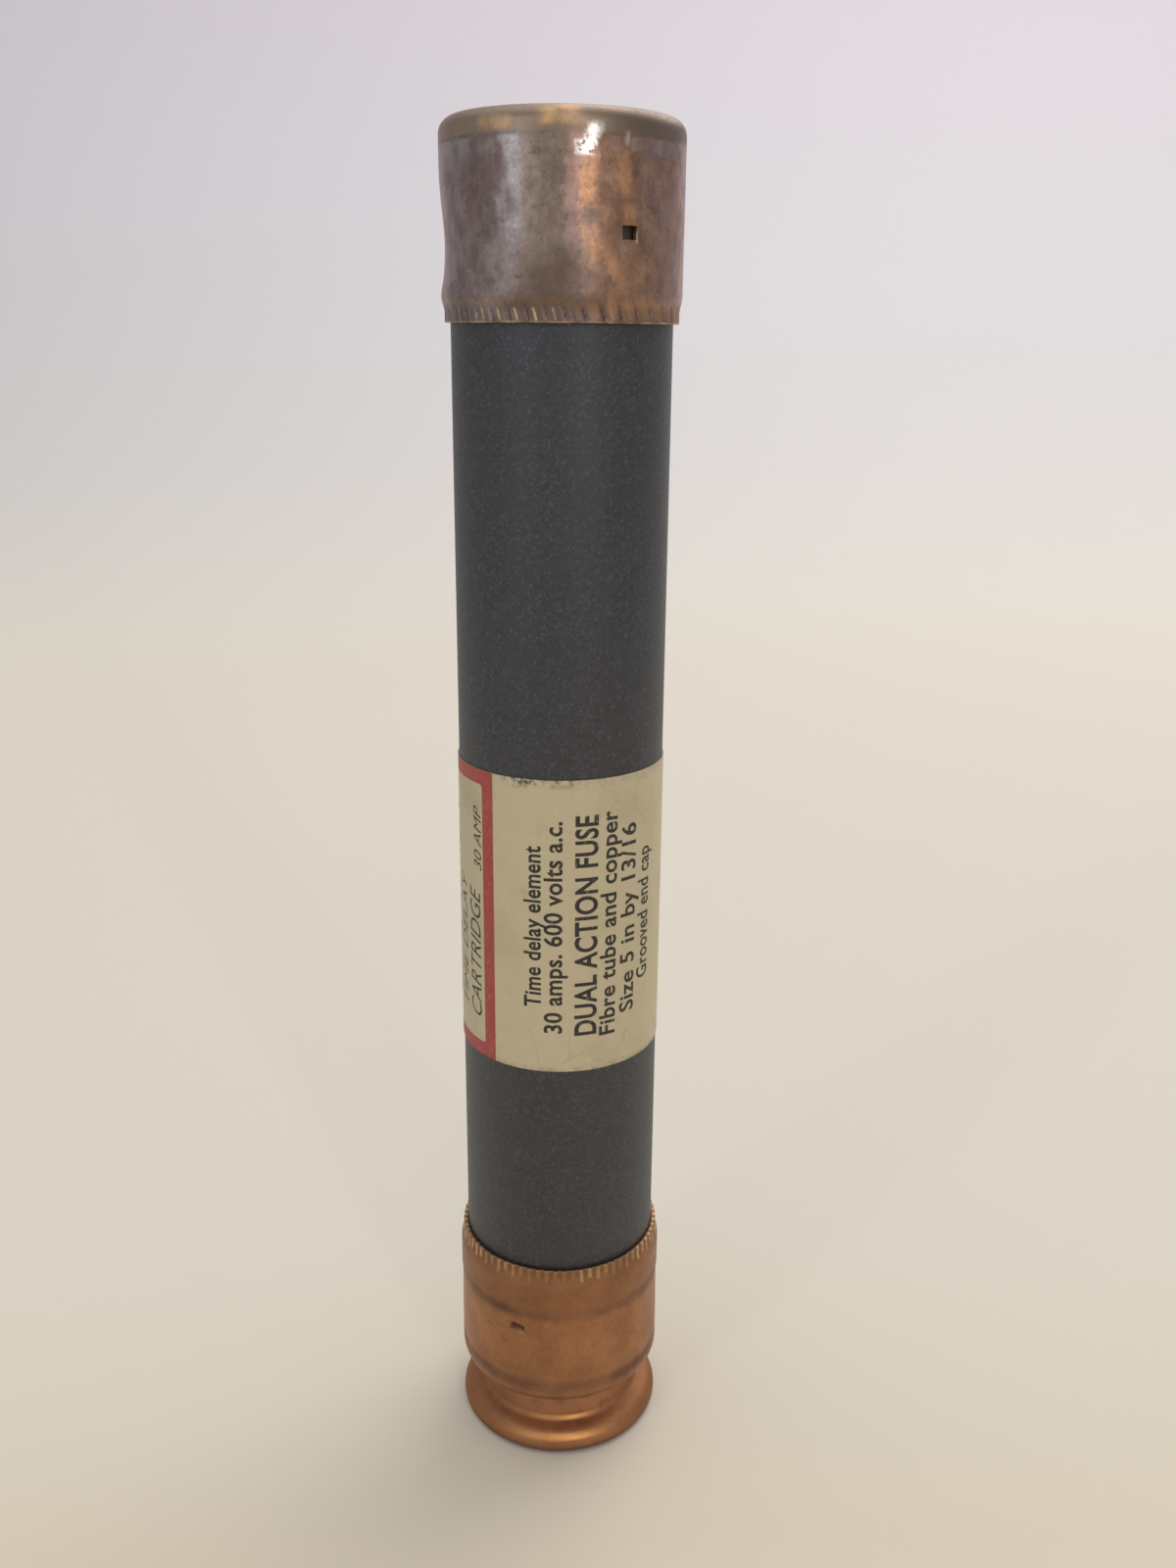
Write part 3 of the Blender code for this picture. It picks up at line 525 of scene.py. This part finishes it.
def rim_and_lip(paint, body, turn, near, patchy, cloud):
    """The plain ferrule's brown-gold rim with painted highlights, the grey line under it, and
    painted highlights on the crimp's edges.
    """
    under = paint.ring(124.2, 0.2, 0.7) * paint.fade(abs(turn - 2.0), 14.0, 30.0)
    body = paint.mix(under * patchy * 0.45, body, (0.40, 0.37, 0.38))
    rim = paint.mix(cloud, (0.25, 0.19, 0.145), (0.42, 0.315, 0.225))
    # Painted highlights on the rim at the front and to the left.
    rim_glint = paint.band(near, -1.0, 5.0, 7.0) * paint.ring(126.1, 0.4, 0.5)
    rim_glint = rim_glint + 0.6 * paint.band(near, -31.0, 5.0, 6.0) * paint.ring(125.7, 0.3, 0.5)
    rim = paint.mix(rim_glint.clamped() * (0.3 + 0.7 * patchy), rim, (0.80, 0.50, 0.25))
    rim = paint.mix(paint.fade(turn, 8.0, 35.0) * 0.7, rim, (0.16, 0.125, 0.11))
    body = paint.mix(paint.rise(124.75, 125.15) * 0.9, body, rim)
    body = paint.mix(paint.ring(124.85, 0.05, 0.2) * 0.4 * patchy, body, (0.09, 0.06, 0.05))
    body = paint.mix(paint.rise(113.6, 111.8) * 0.45, body, (0.17, 0.125, 0.115))
    pitch = 360 / bpy.context.scene.fuse_sizes.crimp_marks
    place = paint.repeat(turn + paint.z * (CRIMP_SLANT / MM), pitch)
    # Painted highlights: gold ticks on the crimp marks left of the front and along the lip's bottom
    # edge.
    ticks = paint.band(place, 4.2, 0.3, 0.6) * paint.ring(111.7, 0.3, 0.3)
    ticks = ticks * paint.fade(cloud, 0.40, 0.58) * paint.fade(turn, 5.0, -8.0)
    lobes = paint.band(place, 4.5, 1.6, 1.6) * paint.ring(111.9, 0.45, 0.35)
    lobes = lobes * paint.fade(turn, 0, 22.0)
    body = paint.mix(lobes * 0.55, body, (0.42, 0.26, 0.15))
    edge_highlights = (ticks + paint.rise(111.2, 111.1) * 0.45 * patchy).clamped()
    return paint.mix(edge_highlights, body, (0.72, 0.55, 0.30))


def grained_paint(name, base, roughness, grain):
    """A dull inner material: grains of several tones under a little clouding."""
    paint = Paint(name, roughness)
    cells = paint.grains(grain)
    body = paint.mix(cells, scaled(base, 0.7), scaled(base, 1.2))
    body = paint.mix(paint.noise(8 * grain, detail=4) * 0.4, body, scaled(base, 0.85))
    paint.link("Base Color", body)
    paint.link("Roughness", roughness - 0.1 + 0.15 * cells)
    paint.bump(cells, 0.25 * grain)
    return paint.material


def metal_paint(name, base, roughness, grain):
    """An inner metal: drawn lines, blotches and a trace of oxide."""
    paint = Paint(name, roughness, 1.0)
    lines = paint.noise(grain, detail=3, tall=8)
    blots = paint.fade(paint.noise(12 * grain, detail=5), 0.35, 0.7)
    body = paint.mix(lines, scaled(base, 0.85), scaled(base, 1.1))
    body = paint.mix(blots * 0.35, body, scaled(base, 0.55))
    paint.link("Base Color", body)
    paint.link("Roughness", roughness - 0.08 + 0.2 * blots)
    paint.bump(lines, 0.1 * grain)
    return paint.material


# ---------------------------------------------------------------- turned pieces


def smooth_step(value, start, end):
    """0 at start, 1 at end and smooth between, whichever of the two is greater."""
    share = max(0.0, min(1.0, (value - start) / (end - start)))
    return share * share * (3 - 2 * share)


def bell(value, centre, width):
    """A soft bump of height 1 at the centre."""
    return math.exp(-(((value - centre) / width) ** 2))


def turn_of(point):
    """The angle of a point round the fuse in degrees."""
    return math.degrees(math.atan2(point.x, -point.y))


def push(point, distance, limit):
    """Move a point away from the axis by a distance, to no more than a limit from it."""
    radius = math.hypot(point.x, point.y)
    scale = min(radius + distance, limit) / radius
    point.x *= scale
    point.y *= scale


def cap_section(outer, wall):
    """The outline of half a cap's wall, from the (radius, height, rounding) corners of its outside.

    The rounding is how far a corner's curve reaches along its edges. The inside repeats the corners
    a wall further in. Returns a bmesh whose layer "outside" is 1 on the outside and 0 inside.
    """
    spots = [Vector((radius, height)) for radius, height, _ in outer]
    runs = [(after - before).normalized() for before, after in zip(spots, spots[1:])]
    hand = 1 if spots[-1].y > spots[0].y else -1
    inner = []
    for index, (spot, corner) in enumerate(zip(spots, outer)):
        before, after = runs[max(index - 1, 0)], runs[min(index, len(runs) - 1)]
        inward = [Vector((-run.y, run.x)) * hand for run in (before, after)]
        moved = spot + (inward[0] + inward[1]) * (wall / (1 + before.dot(after)))
        reach = wall * math.tan(before.angle(after) / 2)
        hollow = before.cross(after) * hand < 0
        rounding = max(corner[2] + (reach if hollow else -reach), 0.0) if corner[2] else 0.0
        inner.append((moved.x, moved.y, rounding))
    shape = bmesh.new()
    outside = shape.verts.layers.float.new("outside")
    corners = [(*corner, 1.0) for corner in outer] + [(*corner, 0.0) for corner in reversed(inner)]
    verts = []
    for radius, height, _, side in corners:
        vert = shape.verts.new((radius, 0, height))
        vert[outside] = side
        verts.append(vert)
    for one, two in zip(verts, verts[1:]):
        shape.edges.new((one, two))
    for vert, corner in zip(verts, corners):
        if corner[2] > WELD:
            bmesh.ops.bevel(
                shape, geom=[vert], affect="VERTICES", offset=corner[2], offset_type="OFFSET",
                segments=CORNER_STEPS, profile=0.5, material=-1,
            )
    return shape


def refine(shape, longest, low, high):
    """Divide the outside's edges between two heights until none is longer than a length."""
    outside = shape.verts.layers.float["outside"]
    for edge in list(shape.edges):
        cuts = int(edge.calc_length() / longest)
        inside_span = all(low - WELD < vert.co.z < high + WELD for vert in edge.verts)
        if cuts and inside_span and all(vert[outside] > 0.5 for vert in edge.verts):
            bmesh.ops.subdivide_edges(shape, edges=[edge], cuts=cuts)


def spin(shape, steps):
    """Turn a section all the way round Z into a closed skin that faces outwards."""
    bmesh.ops.spin(
        shape, geom=shape.verts[:] + shape.edges[:], cent=(0, 0, 0), axis=(0, 0, 1),
        angle=math.tau / WEDGES, steps=steps // WEDGES,
    )
    wedge = shape.verts[:] + shape.edges[:] + shape.faces[:]
    for index in range(1, WEDGES):
        copied = bmesh.ops.duplicate(shape, geom=wedge)["geom"]
        verts = [item for item in copied if isinstance(item, bmesh.types.BMVert)]
        turned = Matrix.Rotation(math.tau * index / WEDGES, 3, "Z")
        bmesh.ops.rotate(shape, cent=(0, 0, 0), matrix=turned, verts=verts)
    bmesh.ops.remove_doubles(shape, verts=shape.verts, dist=WELD)
    bmesh.ops.recalc_face_normals(shape, faces=shape.faces)


def finish_piece(name, shape, material, replaced=(), sharp=40.0):
    """Make a bmesh into a piece that rides on the case and stands for CAD nodes."""
    mesh = bpy.data.meshes.new(name)
    shape.to_mesh(mesh)
    shape.free()
    mesh.shade_smooth()
    mesh.set_sharp_from_angle(angle=math.radians(sharp))
    mesh.materials.append(material)
    piece = bpy.data.objects.new(name, mesh)
    bpy.context.scene.collection.objects.link(piece)
    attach(piece, "case")
    if replaced:
        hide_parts(*replaced)


def cut_window(shape, turn, half_turn, low, high):
    """Open a window through both walls of a spun cap and line its edge."""
    gone = []
    for face in shape.faces:
        centre = face.calc_center_median()
        if low < centre.z < high and abs(turn_of(centre) - turn) < half_turn:
            gone.append(face)
    bmesh.ops.delete(shape, geom=gone, context="FACES")
    bmesh.ops.bridge_loops(shape, edges=[edge for edge in shape.edges if edge.is_boundary])


def ripple_at(point, pitch):
    """Slow unevenness between -1 and 1 over a cap's wall."""
    return noise.noise(Vector((point.x, point.y, point.z * 0.6)) / pitch)


# ---------------------------------------------------------------- wrapped pieces


def wrap(shape, radius):
    """Bend a flat shape round the fuse: X runs round it, -Y away from its axis and Z up it."""
    for vert in shape.verts:
        angle = vert.co.x / radius
        reach = radius - vert.co.y
        vert.co = (reach * math.sin(angle), -reach * math.cos(angle), vert.co.z)


def slice_upright(shape):
    """Divide a flat shape by upright planes, so that it can bend without flat stretches."""
    sides = [vert.co.x for vert in shape.verts]
    for index in range(1, int((max(sides) - min(sides)) / SHEET_STEP) + 1):
        place = min(sides) + index * SHEET_STEP
        bmesh.ops.bisect_plane(
            shape, geom=shape.verts[:] + shape.edges[:] + shape.faces[:],
            plane_co=(place, 0, 0), plane_no=(1, 0, 0), dist=WELD,
        )


def label_radius(context):
    """The radius of the label's outer face."""
    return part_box(NODE_TUBE)[1].x + context.scene.fuse_sizes.paper + LABEL_GAP


def along(turn, radius):
    """The distance round the fuse from the front to a turn."""
    return math.radians(turn) * radius


def add_line(shape, radius, ink, line):
    """Add one line of raised text that reads up the fuse to a flat shape."""
    text, turn, start, end, capital, weight, slant = line
    curve = bpy.data.curves.new("line", "FONT")
    curve.body = text
    curve.resolution_u = 4
    curve.offset = weight
    curve.space_character = 1 + 2 * weight
    curve.shear = slant
    curve.extrude = 0.5
    holder = bpy.data.objects.new("line", curve)
    bpy.context.scene.collection.objects.link(holder)
    bpy.context.view_layer.update()
    evaluated = holder.evaluated_get(bpy.context.evaluated_depsgraph_get())
    mesh = bpy.data.meshes.new_from_object(evaluated)
    spread = [vert.co.x for vert in mesh.vertices]
    stretch = (end - start) * MM / (max(spread) - min(spread))
    height = capital * MM / CAP_SHARE
    mesh.transform(Matrix.Diagonal((stretch, height, 2 * ink, 1)))
    lift = Matrix.Translation((along(turn, radius), 0, start * MM - min(spread) * stretch))
    upright = Matrix(((0, -1, 0, 0), (0, 0, -1, 0), (1, 0, 0, 0), (0, 0, 0, 1)))
    mesh.transform(lift @ upright)
    shape.from_mesh(mesh)
    bpy.data.objects.remove(holder)
    bpy.data.curves.remove(curve)
    bpy.data.meshes.remove(mesh)


def print_lines(context, name, lines, material):
    """Print a group of lines on the label as one piece."""
    radius = label_radius(context)
    shape = bmesh.new()
    for line in lines:
        add_line(shape, radius, context.scene.fuse_sizes.ink, line)
    bmesh.ops.remove_doubles(shape, verts=shape.verts, dist=WELD)
    slice_upright(shape)
    wrap(shape, radius)
    finish_piece(name, shape, material)


# ---------------------------------------------------------------- operators


class FUSE_OT_tube(Operator):
    """Build the fibre tube"""

    bl_idname = "fuse.tube"
    bl_label = "Fibre tube"

    def execute(self, context):
        low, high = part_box(NODE_TUBE)
        bore = high.x - context.scene.fuse_sizes.tube_wall
        ease = 0.3 * MM
        shape = bmesh.new()
        corners = [(bore, low.z), (high.x, low.z), (high.x, high.z), (bore, high.z)]
        verts = [shape.verts.new((radius, 0, height)) for radius, height in corners]
        for one, two in zip(verts, verts[1:] + verts[:1]):
            shape.edges.new((one, two))
        bmesh.ops.bevel(
            shape, geom=verts[1:3], affect="VERTICES", offset=ease, offset_type="OFFSET",
            segments=SMALL_CORNER_STEPS, profile=0.5, material=-1,
        )
        spin(shape, TUBE_STEPS)
        finish_piece("casing_tube", shape, fibre_paint(), [NODE_TUBE])
        return {"FINISHED"}


class FUSE_OT_plain_ferrule(Operator):
    """Build the plain ferrule with its crimp marks, window and dent"""

    bl_idname = "fuse.plain_ferrule"
    bl_label = "Plain ferrule"

    def execute(self, context):
        sizes = context.scene.fuse_sizes
        low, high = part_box(NODE_PLAIN)
        radius = high.x
        lip = radius - sizes.lip_pinch
        outer = [
            (0, high.z, 0),
            (radius, high.z, PLAIN_ROUND),
            (radius, WINDOW_LEVELS[1], 0),
            (radius, WINDOW_LEVELS[0], 0),
            (radius, low.z + 2.0 * MM, 0.4 * MM),
            (lip, low.z + 1.1 * MM, 0.3 * MM),
            (lip, low.z, 0.12 * MM),
        ]
        shape = cap_section(outer, sizes.ferrule_wall)
        refine(shape, 0.10 * MM, low.z, low.z + 2.0 * MM)
        refine(shape, 0.35 * MM, low.z, high.z - PLAIN_ROUND)
        spin(shape, FERRULE_STEPS)
        outside = shape.verts.layers.float["outside"]
        for vert in shape.verts:
            if vert[outside] > 0 and vert.co.z < high.z - WELD:
                shift = self.shift(vert.co, low.z, sizes)
                push(vert.co, shift * vert[outside], radius)
        cut_window(shape, WINDOW_TURN, WINDOW_HALF, *WINDOW_LEVELS)
        finish_piece("plain_ferrule", shape, tarnish_paint(), [NODE_PLAIN])
        return {"FINISHED"}

    def shift(self, point, bottom, sizes):
        """How far the wall moves out at a point for the dent, the crimp and the window's dimple."""
        turn = turn_of(point)
        rise = point.z - bottom
        aside = turn - DENT_TURN
        dent = bell(aside, 0, 30) * bell(rise, 6.0 * MM, 3.6 * MM)
        swell = bell(aside, 0, 24) * bell(rise, 2.2 * MM, 1.0 * MM)
        dimple = bell(turn, WINDOW_TURN, 6) * bell(point.z, sum(WINDOW_LEVELS) / 2, 0.9 * MM)
        moved = swell * 0.14 * MM - dent * sizes.dent_depth - dimple * 0.10 * MM
        return moved + ripple_at(point, 3.8 * MM) * sizes.ripple - self.crimp(turn, rise, sizes)

    def crimp(self, turn, rise, sizes):
        """The depth pressed in by the crimp's slanted marks, each with a fainter one beside it."""
        pitch = 360 / sizes.crimp_marks
        share = (turn + rise / MM * CRIMP_SLANT) / pitch % 1
        marks = bell(share, 0.30, 0.09) + 0.45 * bell(share, 0.62, 0.07)
        reach = smooth_step(rise, 1.9 * MM, 1.2 * MM) * smooth_step(rise, 0, 0.35 * MM)
        return marks * reach * sizes.tooth_depth


class FUSE_OT_grooved_ferrule(Operator):
    """Build the grooved ferrule with its flange, neck, bands and toothed lip"""

    bl_idname = "fuse.grooved_ferrule"
    bl_label = "Grooved ferrule"

    def execute(self, context):
        sizes = context.scene.fuse_sizes
        low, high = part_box(NODE_GROOVED)
        radius = high.x
        neck = radius - NECK_DEPTH
        lip = radius - sizes.lip_pinch
        outer = [
            (0, low.z, 0),
            (radius, low.z, 0.85 * MM),
            (radius, 1.95 * MM, 1.15 * MM),
            (neck + 0.10 * MM, 2.70 * MM, 0.50 * MM),
            (neck, 5.60 * MM, 0.8 * MM),
            (radius, 6.75 * MM, 0.85 * MM),
            (radius, 11.8 * MM, 0.5 * MM),
            (radius - 0.05 * MM, 14.1 * MM, 0),
            (radius - 0.08 * MM, 15.9 * MM, 0),
            (radius - 0.10 * MM, 16.45 * MM, 0.15 * MM),
            (radius, 16.95 * MM, 0.2 * MM),
            (radius, 20.1 * MM, 0.3 * MM),
            (lip, 21.1 * MM, 0.3 * MM),
            (lip, high.z, 0.12 * MM),
        ]
        shape = cap_section(outer, sizes.ferrule_wall)
        refine(shape, 0.10 * MM, 20.1 * MM, high.z)
        refine(shape, 0.16 * MM, 14.1 * MM, 15.9 * MM)
        refine(shape, 0.6 * MM, 2.2 * MM, 20.5 * MM)
        spin(shape, FERRULE_STEPS)
        outside = shape.verts.layers.float["outside"]
        for vert in shape.verts:
            if vert[outside] > 0 and vert.co.z > low.z + WELD:
                shift = self.shift(vert.co, high.z, sizes)
                push(vert.co, shift * vert[outside], radius)
        finish_piece("grooved_ferrule", shape, copper_paint(), [NODE_GROOVED])
        return {"FINISHED"}

    def shift(self, point, top, sizes):
        """How far the wall is moved out at a point by the teeth, the punch mark and its ripple."""
        turn = turn_of(point)
        moved = ripple_at(point, 4.2 * MM) * sizes.ripple * 0.8
        return moved - self.teeth(turn, top - point.z, sizes) - self.stake(turn, point.z, sizes)

    def teeth(self, turn, drop, sizes):
        """The depth pressed in between the lip's teeth; the gaps' ends slant one way by turns."""
        phase = turn * sizes.crimp_teeth / 360
        gap = 0.5 + 0.5 * math.cos(math.tau * phase)
        length = (1.20 + 0.25 * math.sin(math.pi * phase)) * MM
        return gap * smooth_step(drop, length, length * 0.5) * sizes.tooth_depth

    def stake(self, turn, height, sizes):
        """The depth of the small three-sided punch mark."""
        across = (turn - STAKE_TURN) / 4.2
        up = (height - STAKE_LEVEL) / (0.42 * MM)
        reach = max(abs(across), abs(up + 0.5 * across))
        return smooth_step(reach, 1.15, 0.55) * sizes.stake_depth


class FUSE_OT_label(Operator):
    """Wrap the paper label round the tube, its end lapped over its beginning"""

    bl_idname = "fuse.label"
    bl_label = "Label"

    def execute(self, context):
        sizes = context.scene.fuse_sizes
        low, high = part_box(NODE_LABEL)
        radius = label_radius(context)
        start = along(LABEL_SEAM - 360, radius)
        end = along(LABEL_SEAM + LABEL_LAP, radius)
        rise = (along(LABEL_SEAM - 5, radius), along(LABEL_SEAM - 0.5, radius))
        shape = bmesh.new()
        bmesh.ops.create_grid(shape, x_segments=300, y_segments=12, size=0.5)
        bmesh.ops.scale(shape, vec=(end - start, high.z - low.z, 1), verts=shape.verts)
        bmesh.ops.rotate(
            shape, cent=(0, 0, 0), matrix=Matrix.Rotation(math.pi / 2, 3, "X"), verts=shape.verts
        )
        middle = ((start + end) / 2, 0, (low.z + high.z) / 2)
        bmesh.ops.translate(shape, vec=middle, verts=shape.verts)
        for vert in shape.verts:
            vert.co.y -= smooth_step(vert.co.x, *rise) * (sizes.paper + 0.01 * MM)
        bmesh.ops.solidify(shape, geom=shape.faces[:], thickness=sizes.paper)
        wrap(shape, radius)
        finish_piece("label_wrap", shape, paper_paint(), [NODE_LABEL], sharp=50)
        return {"FINISHED"}


class FUSE_OT_border(Operator):
    """Print the label's border"""

    bl_idname = "fuse.border"
    bl_label = "Border"

    def execute(self, context):
        sizes = context.scene.fuse_sizes
        low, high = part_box(NODE_LABEL)
        radius = label_radius(context)
        sides = [along(turn, radius) for turn in BORDER_TURNS]
        shape = bmesh.new()
        self.add_ring(shape, sides, (low.z, high.z), 0)
        self.add_ring(shape, sides, (low.z, high.z), sizes.border)
        bmesh.ops.triangle_fill(shape, use_beauty=True, edges=shape.edges[:])
        facing = [face for face in shape.faces if face.normal.y > 0]
        bmesh.ops.reverse_faces(shape, faces=facing)
        slice_upright(shape)
        bmesh.ops.translate(shape, vec=(0, -sizes.ink, 0), verts=shape.verts)
        bmesh.ops.solidify(shape, geom=shape.faces[:], thickness=2 * sizes.ink)
        wrap(shape, radius)
        finish_piece("label_border", shape, ink_paint("red_ink", colour("red_ink")))
        return {"FINISHED"}

    def add_ring(self, shape, sides, ends, inset):
        """Add an upright rectangle of edges, with rounded corners if it is inset."""
        left, right = sides[0] + inset, sides[1] - inset
        bottom, top = ends[0] + inset, ends[1] - inset
        spots = [(left, bottom), (right, bottom), (right, top), (left, top)]
        verts = [shape.verts.new((across, 0, height)) for across, height in spots]
        for one, two in zip(verts, verts[1:] + verts[:1]):
            shape.edges.new((one, two))
        if inset:
            bmesh.ops.bevel(
                shape, geom=verts, affect="VERTICES", offset=0.35 * MM, offset_type="OFFSET",
                segments=SMALL_CORNER_STEPS, profile=0.5, material=-1,
            )


class FUSE_OT_lettering(Operator):
    """Print the label's plain lettering"""

    bl_idname = "fuse.lettering"
    bl_label = "Lettering"

    def execute(self, context):
        black = ink_paint("black_ink", colour("black_ink"))
        print_lines(context, "front_lettering", FRONT_LINES, black)
        print_lines(context, "border_lettering", BORDER_LINES, black)
        print_lines(context, "rear_lettering", REAR_LINES, black)
        return {"FINISHED"}


class FUSE_OT_inner_parts(Operator):
    """Give the pieces inside the tube their finishes"""

    bl_idname = "fuse.inner_parts"
    bl_label = "Inner parts"

    def execute(self, context):
        finishes = {
            grained_paint("packed_sand", (0.66, 0.60, 0.48), 0.9, 0.25 * MM): (
                "upper_filler", "lower_filler",
            ),
            grained_paint("pale_fibre", (0.42, 0.33, 0.24), 0.8, 0.4 * MM): (
                "upper_end_washer", "lower_end_washer", "upper_partition", "lower_partition",
                "overload_sleeve", "spring_seat",
            ),
            metal_paint("dull_solder", (0.52, 0.53, 0.55), 0.45, 0.2 * MM): (
                "upper_solder_bead", "lower_solder_bead", "fusing_alloy",
            ),
            metal_paint("bright_copper", (0.60, 0.27, 0.15), 0.3, 0.15 * MM): (
                "upper_link", "lower_link", "heat_absorber", "contact_bush",
            ),
            metal_paint("heater_alloy", (0.46, 0.46, 0.48), 0.4, 0.15 * MM): ("heater_strip",),
            metal_paint("spring_wire", (0.46, 0.46, 0.48), 0.25, 0.1 * MM): ("trigger_spring",),
            metal_paint("turned_brass", (0.62, 0.44, 0.19), 0.3, 0.15 * MM): ("trigger_plunger",),
        }
        for material, nodes in finishes.items():
            for name in nodes:
                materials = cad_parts[name].data.materials
                materials.clear()
                materials.append(material)
        return {"FINISHED"}


class FUSE_OT_studio(Operator):
    """Set up the floor, the lights and the camera"""

    bl_idname = "fuse.studio"
    bl_label = "Studio"

    def execute(self, context):
        self.add_backdrop(context)
        self.add_lights(context)
        self.add_camera(context)
        context.scene.view_settings.view_transform = "Standard"
        return {"FINISHED"}

    def add_backdrop(self, context):
        """A floor that curves up into a wall behind the fuse."""
        shape = bmesh.new()
        front, back, top, half, bend = -0.9, 0.9, 1.6, 2.5, 0.4
        spots = [(front, 0), (back, 0), (back, top)]
        verts = [shape.verts.new((-half, depth, height)) for depth, height in spots]
        for one, two in zip(verts, verts[1:]):
            shape.edges.new((one, two))
        bmesh.ops.bevel(
            shape, geom=[verts[1]], affect="VERTICES", offset=bend, offset_type="OFFSET",
            segments=CURVE_STEPS, profile=0.5, material=-1,
        )
        swept = bmesh.ops.extrude_edge_only(shape, edges=shape.edges[:])["geom"]
        moved = [item for item in swept if isinstance(item, bmesh.types.BMVert)]
        bmesh.ops.translate(shape, vec=(2 * half, 0, 0), verts=moved)
        bmesh.ops.recalc_face_normals(shape, faces=shape.faces)
        mesh = bpy.data.meshes.new("backdrop")
        shape.to_mesh(mesh)
        shape.free()
        mesh.shade_smooth()
        mesh.materials.append(self.backdrop_paint())
        backdrop = bpy.data.objects.new("backdrop", mesh)
        context.scene.collection.objects.link(backdrop)

    def backdrop_paint(self):
        """Pale matt board, warm on the floor and cooler up the wall, with painted light up the wall
        and painted shade in front of the fuse.
        """
        paint = Paint("pale_board", 0.85, specular=0.2)
        body = paint.mix(paint.fade(paint.y, 0.25, 1.0), colour("floor"), colour("wall"))
        # Painted light: the wall is painted lighter and cooler towards its top.
        body = paint.mix(paint.fade(paint.z, 0.0, 0.4), body, (0.865, 0.815, 0.885))
        # Painted shade and warm painted bounce light: the floor in front of the fuse is darker and
        # warmer.
        body = paint.mix(paint.fade(paint.y, 0.03, -0.07), body, (0.76, 0.635, 0.47))
        body = paint.mix(paint.noise(0.25, detail=2) * 0.06, body, scaled(colour("floor"), 0.7))
        paint.link("Base Color", body)
        return paint.material

    def add_lights(self, context):
        """A soft key behind on the right, a fill overhead, a small front light and two strips."""
        world = bpy.data.worlds.new("room")
        world.use_nodes = True
        background = world.node_tree.nodes["Background"]
        background.inputs["Color"].default_value = ROOM_COLOR
        background.inputs["Strength"].default_value = ROOM_STRENGTH
        context.scene.world = world
        for lamp in LAMPS:
            self.add_light(*lamp)

    def add_light(self, name, place, size, power, color):
        """A rectangular soft light that faces the middle of the fuse."""
        light = bpy.data.lights.new(name, "AREA")
        light.shape = "RECTANGLE"
        light.size, light.size_y = size
        light.energy = power
        light.color = color
        lamp = bpy.data.objects.new(name, light)
        lamp.location = place
        target = (CAD_BOX[0] + CAD_BOX[1]) / 2
        lamp.rotation_euler = (target - Vector(place)).to_track_quat("-Z", "Y").to_euler()
        lamp.visible_camera = False
        bpy.context.scene.collection.objects.link(lamp)

    def add_camera(self, context):
        """A camera close in front, level with the plain ferrule's lip and tipped down."""
        camera = bpy.data.cameras.new("camera")
        camera.sensor_width = CAMERA_SENSOR
        camera.lens = CAMERA_LENS
        camera.clip_start, camera.clip_end = CAMERA_CLIP
        holder = bpy.data.objects.new("camera", camera)
        forward = Vector(CAMERA_FORWARD).normalized()
        right = forward.cross(Vector(CAMERA_UP)).normalized()
        turned = Matrix((right, right.cross(forward), -forward)).transposed()
        holder.matrix_world = Matrix.Translation(CAMERA_PLACE) @ turned.to_4x4()
        context.scene.collection.objects.link(holder)
        context.scene.camera = holder


STEPS = (
    FUSE_OT_tube,
    FUSE_OT_plain_ferrule,
    FUSE_OT_grooved_ferrule,
    FUSE_OT_label,
    FUSE_OT_border,
    FUSE_OT_lettering,
    FUSE_OT_inner_parts,
    FUSE_OT_studio,
)


class FUSE_PT_sidebar(Panel):
    """Buttons, sizes and colours of the fuse"""

    bl_idname = "FUSE_PT_sidebar"
    bl_label = "Cartridge Fuse"
    bl_space_type = "VIEW_3D"
    bl_region_type = "UI"
    bl_category = "Fuse"

    def draw(self, context):
        for group in (context.scene.fuse_sizes, context.scene.fuse_colours):
            box = self.layout.box()
            for name in group.bl_rna.properties.keys():
                if name not in {"rna_type", "name"}:
                    box.prop(group, name)
        for step in STEPS:
            self.layout.operator(step.bl_idname)


CLASSES = (FuseSizes, FuseColours, *STEPS, FUSE_PT_sidebar)


def register():
    for item in CLASSES:
        bpy.utils.register_class(item)
    bpy.types.Scene.fuse_sizes = PointerProperty(type=FuseSizes)
    bpy.types.Scene.fuse_colours = PointerProperty(type=FuseColours)


def unregister():
    del bpy.types.Scene.fuse_colours
    del bpy.types.Scene.fuse_sizes
    for item in reversed(CLASSES):
        bpy.utils.unregister_class(item)


def main():
    register()
    for step in STEPS:
        group, name = step.bl_idname.split(".")
        getattr(getattr(bpy.ops, group), name)()


if __name__ == "__main__":
    main()
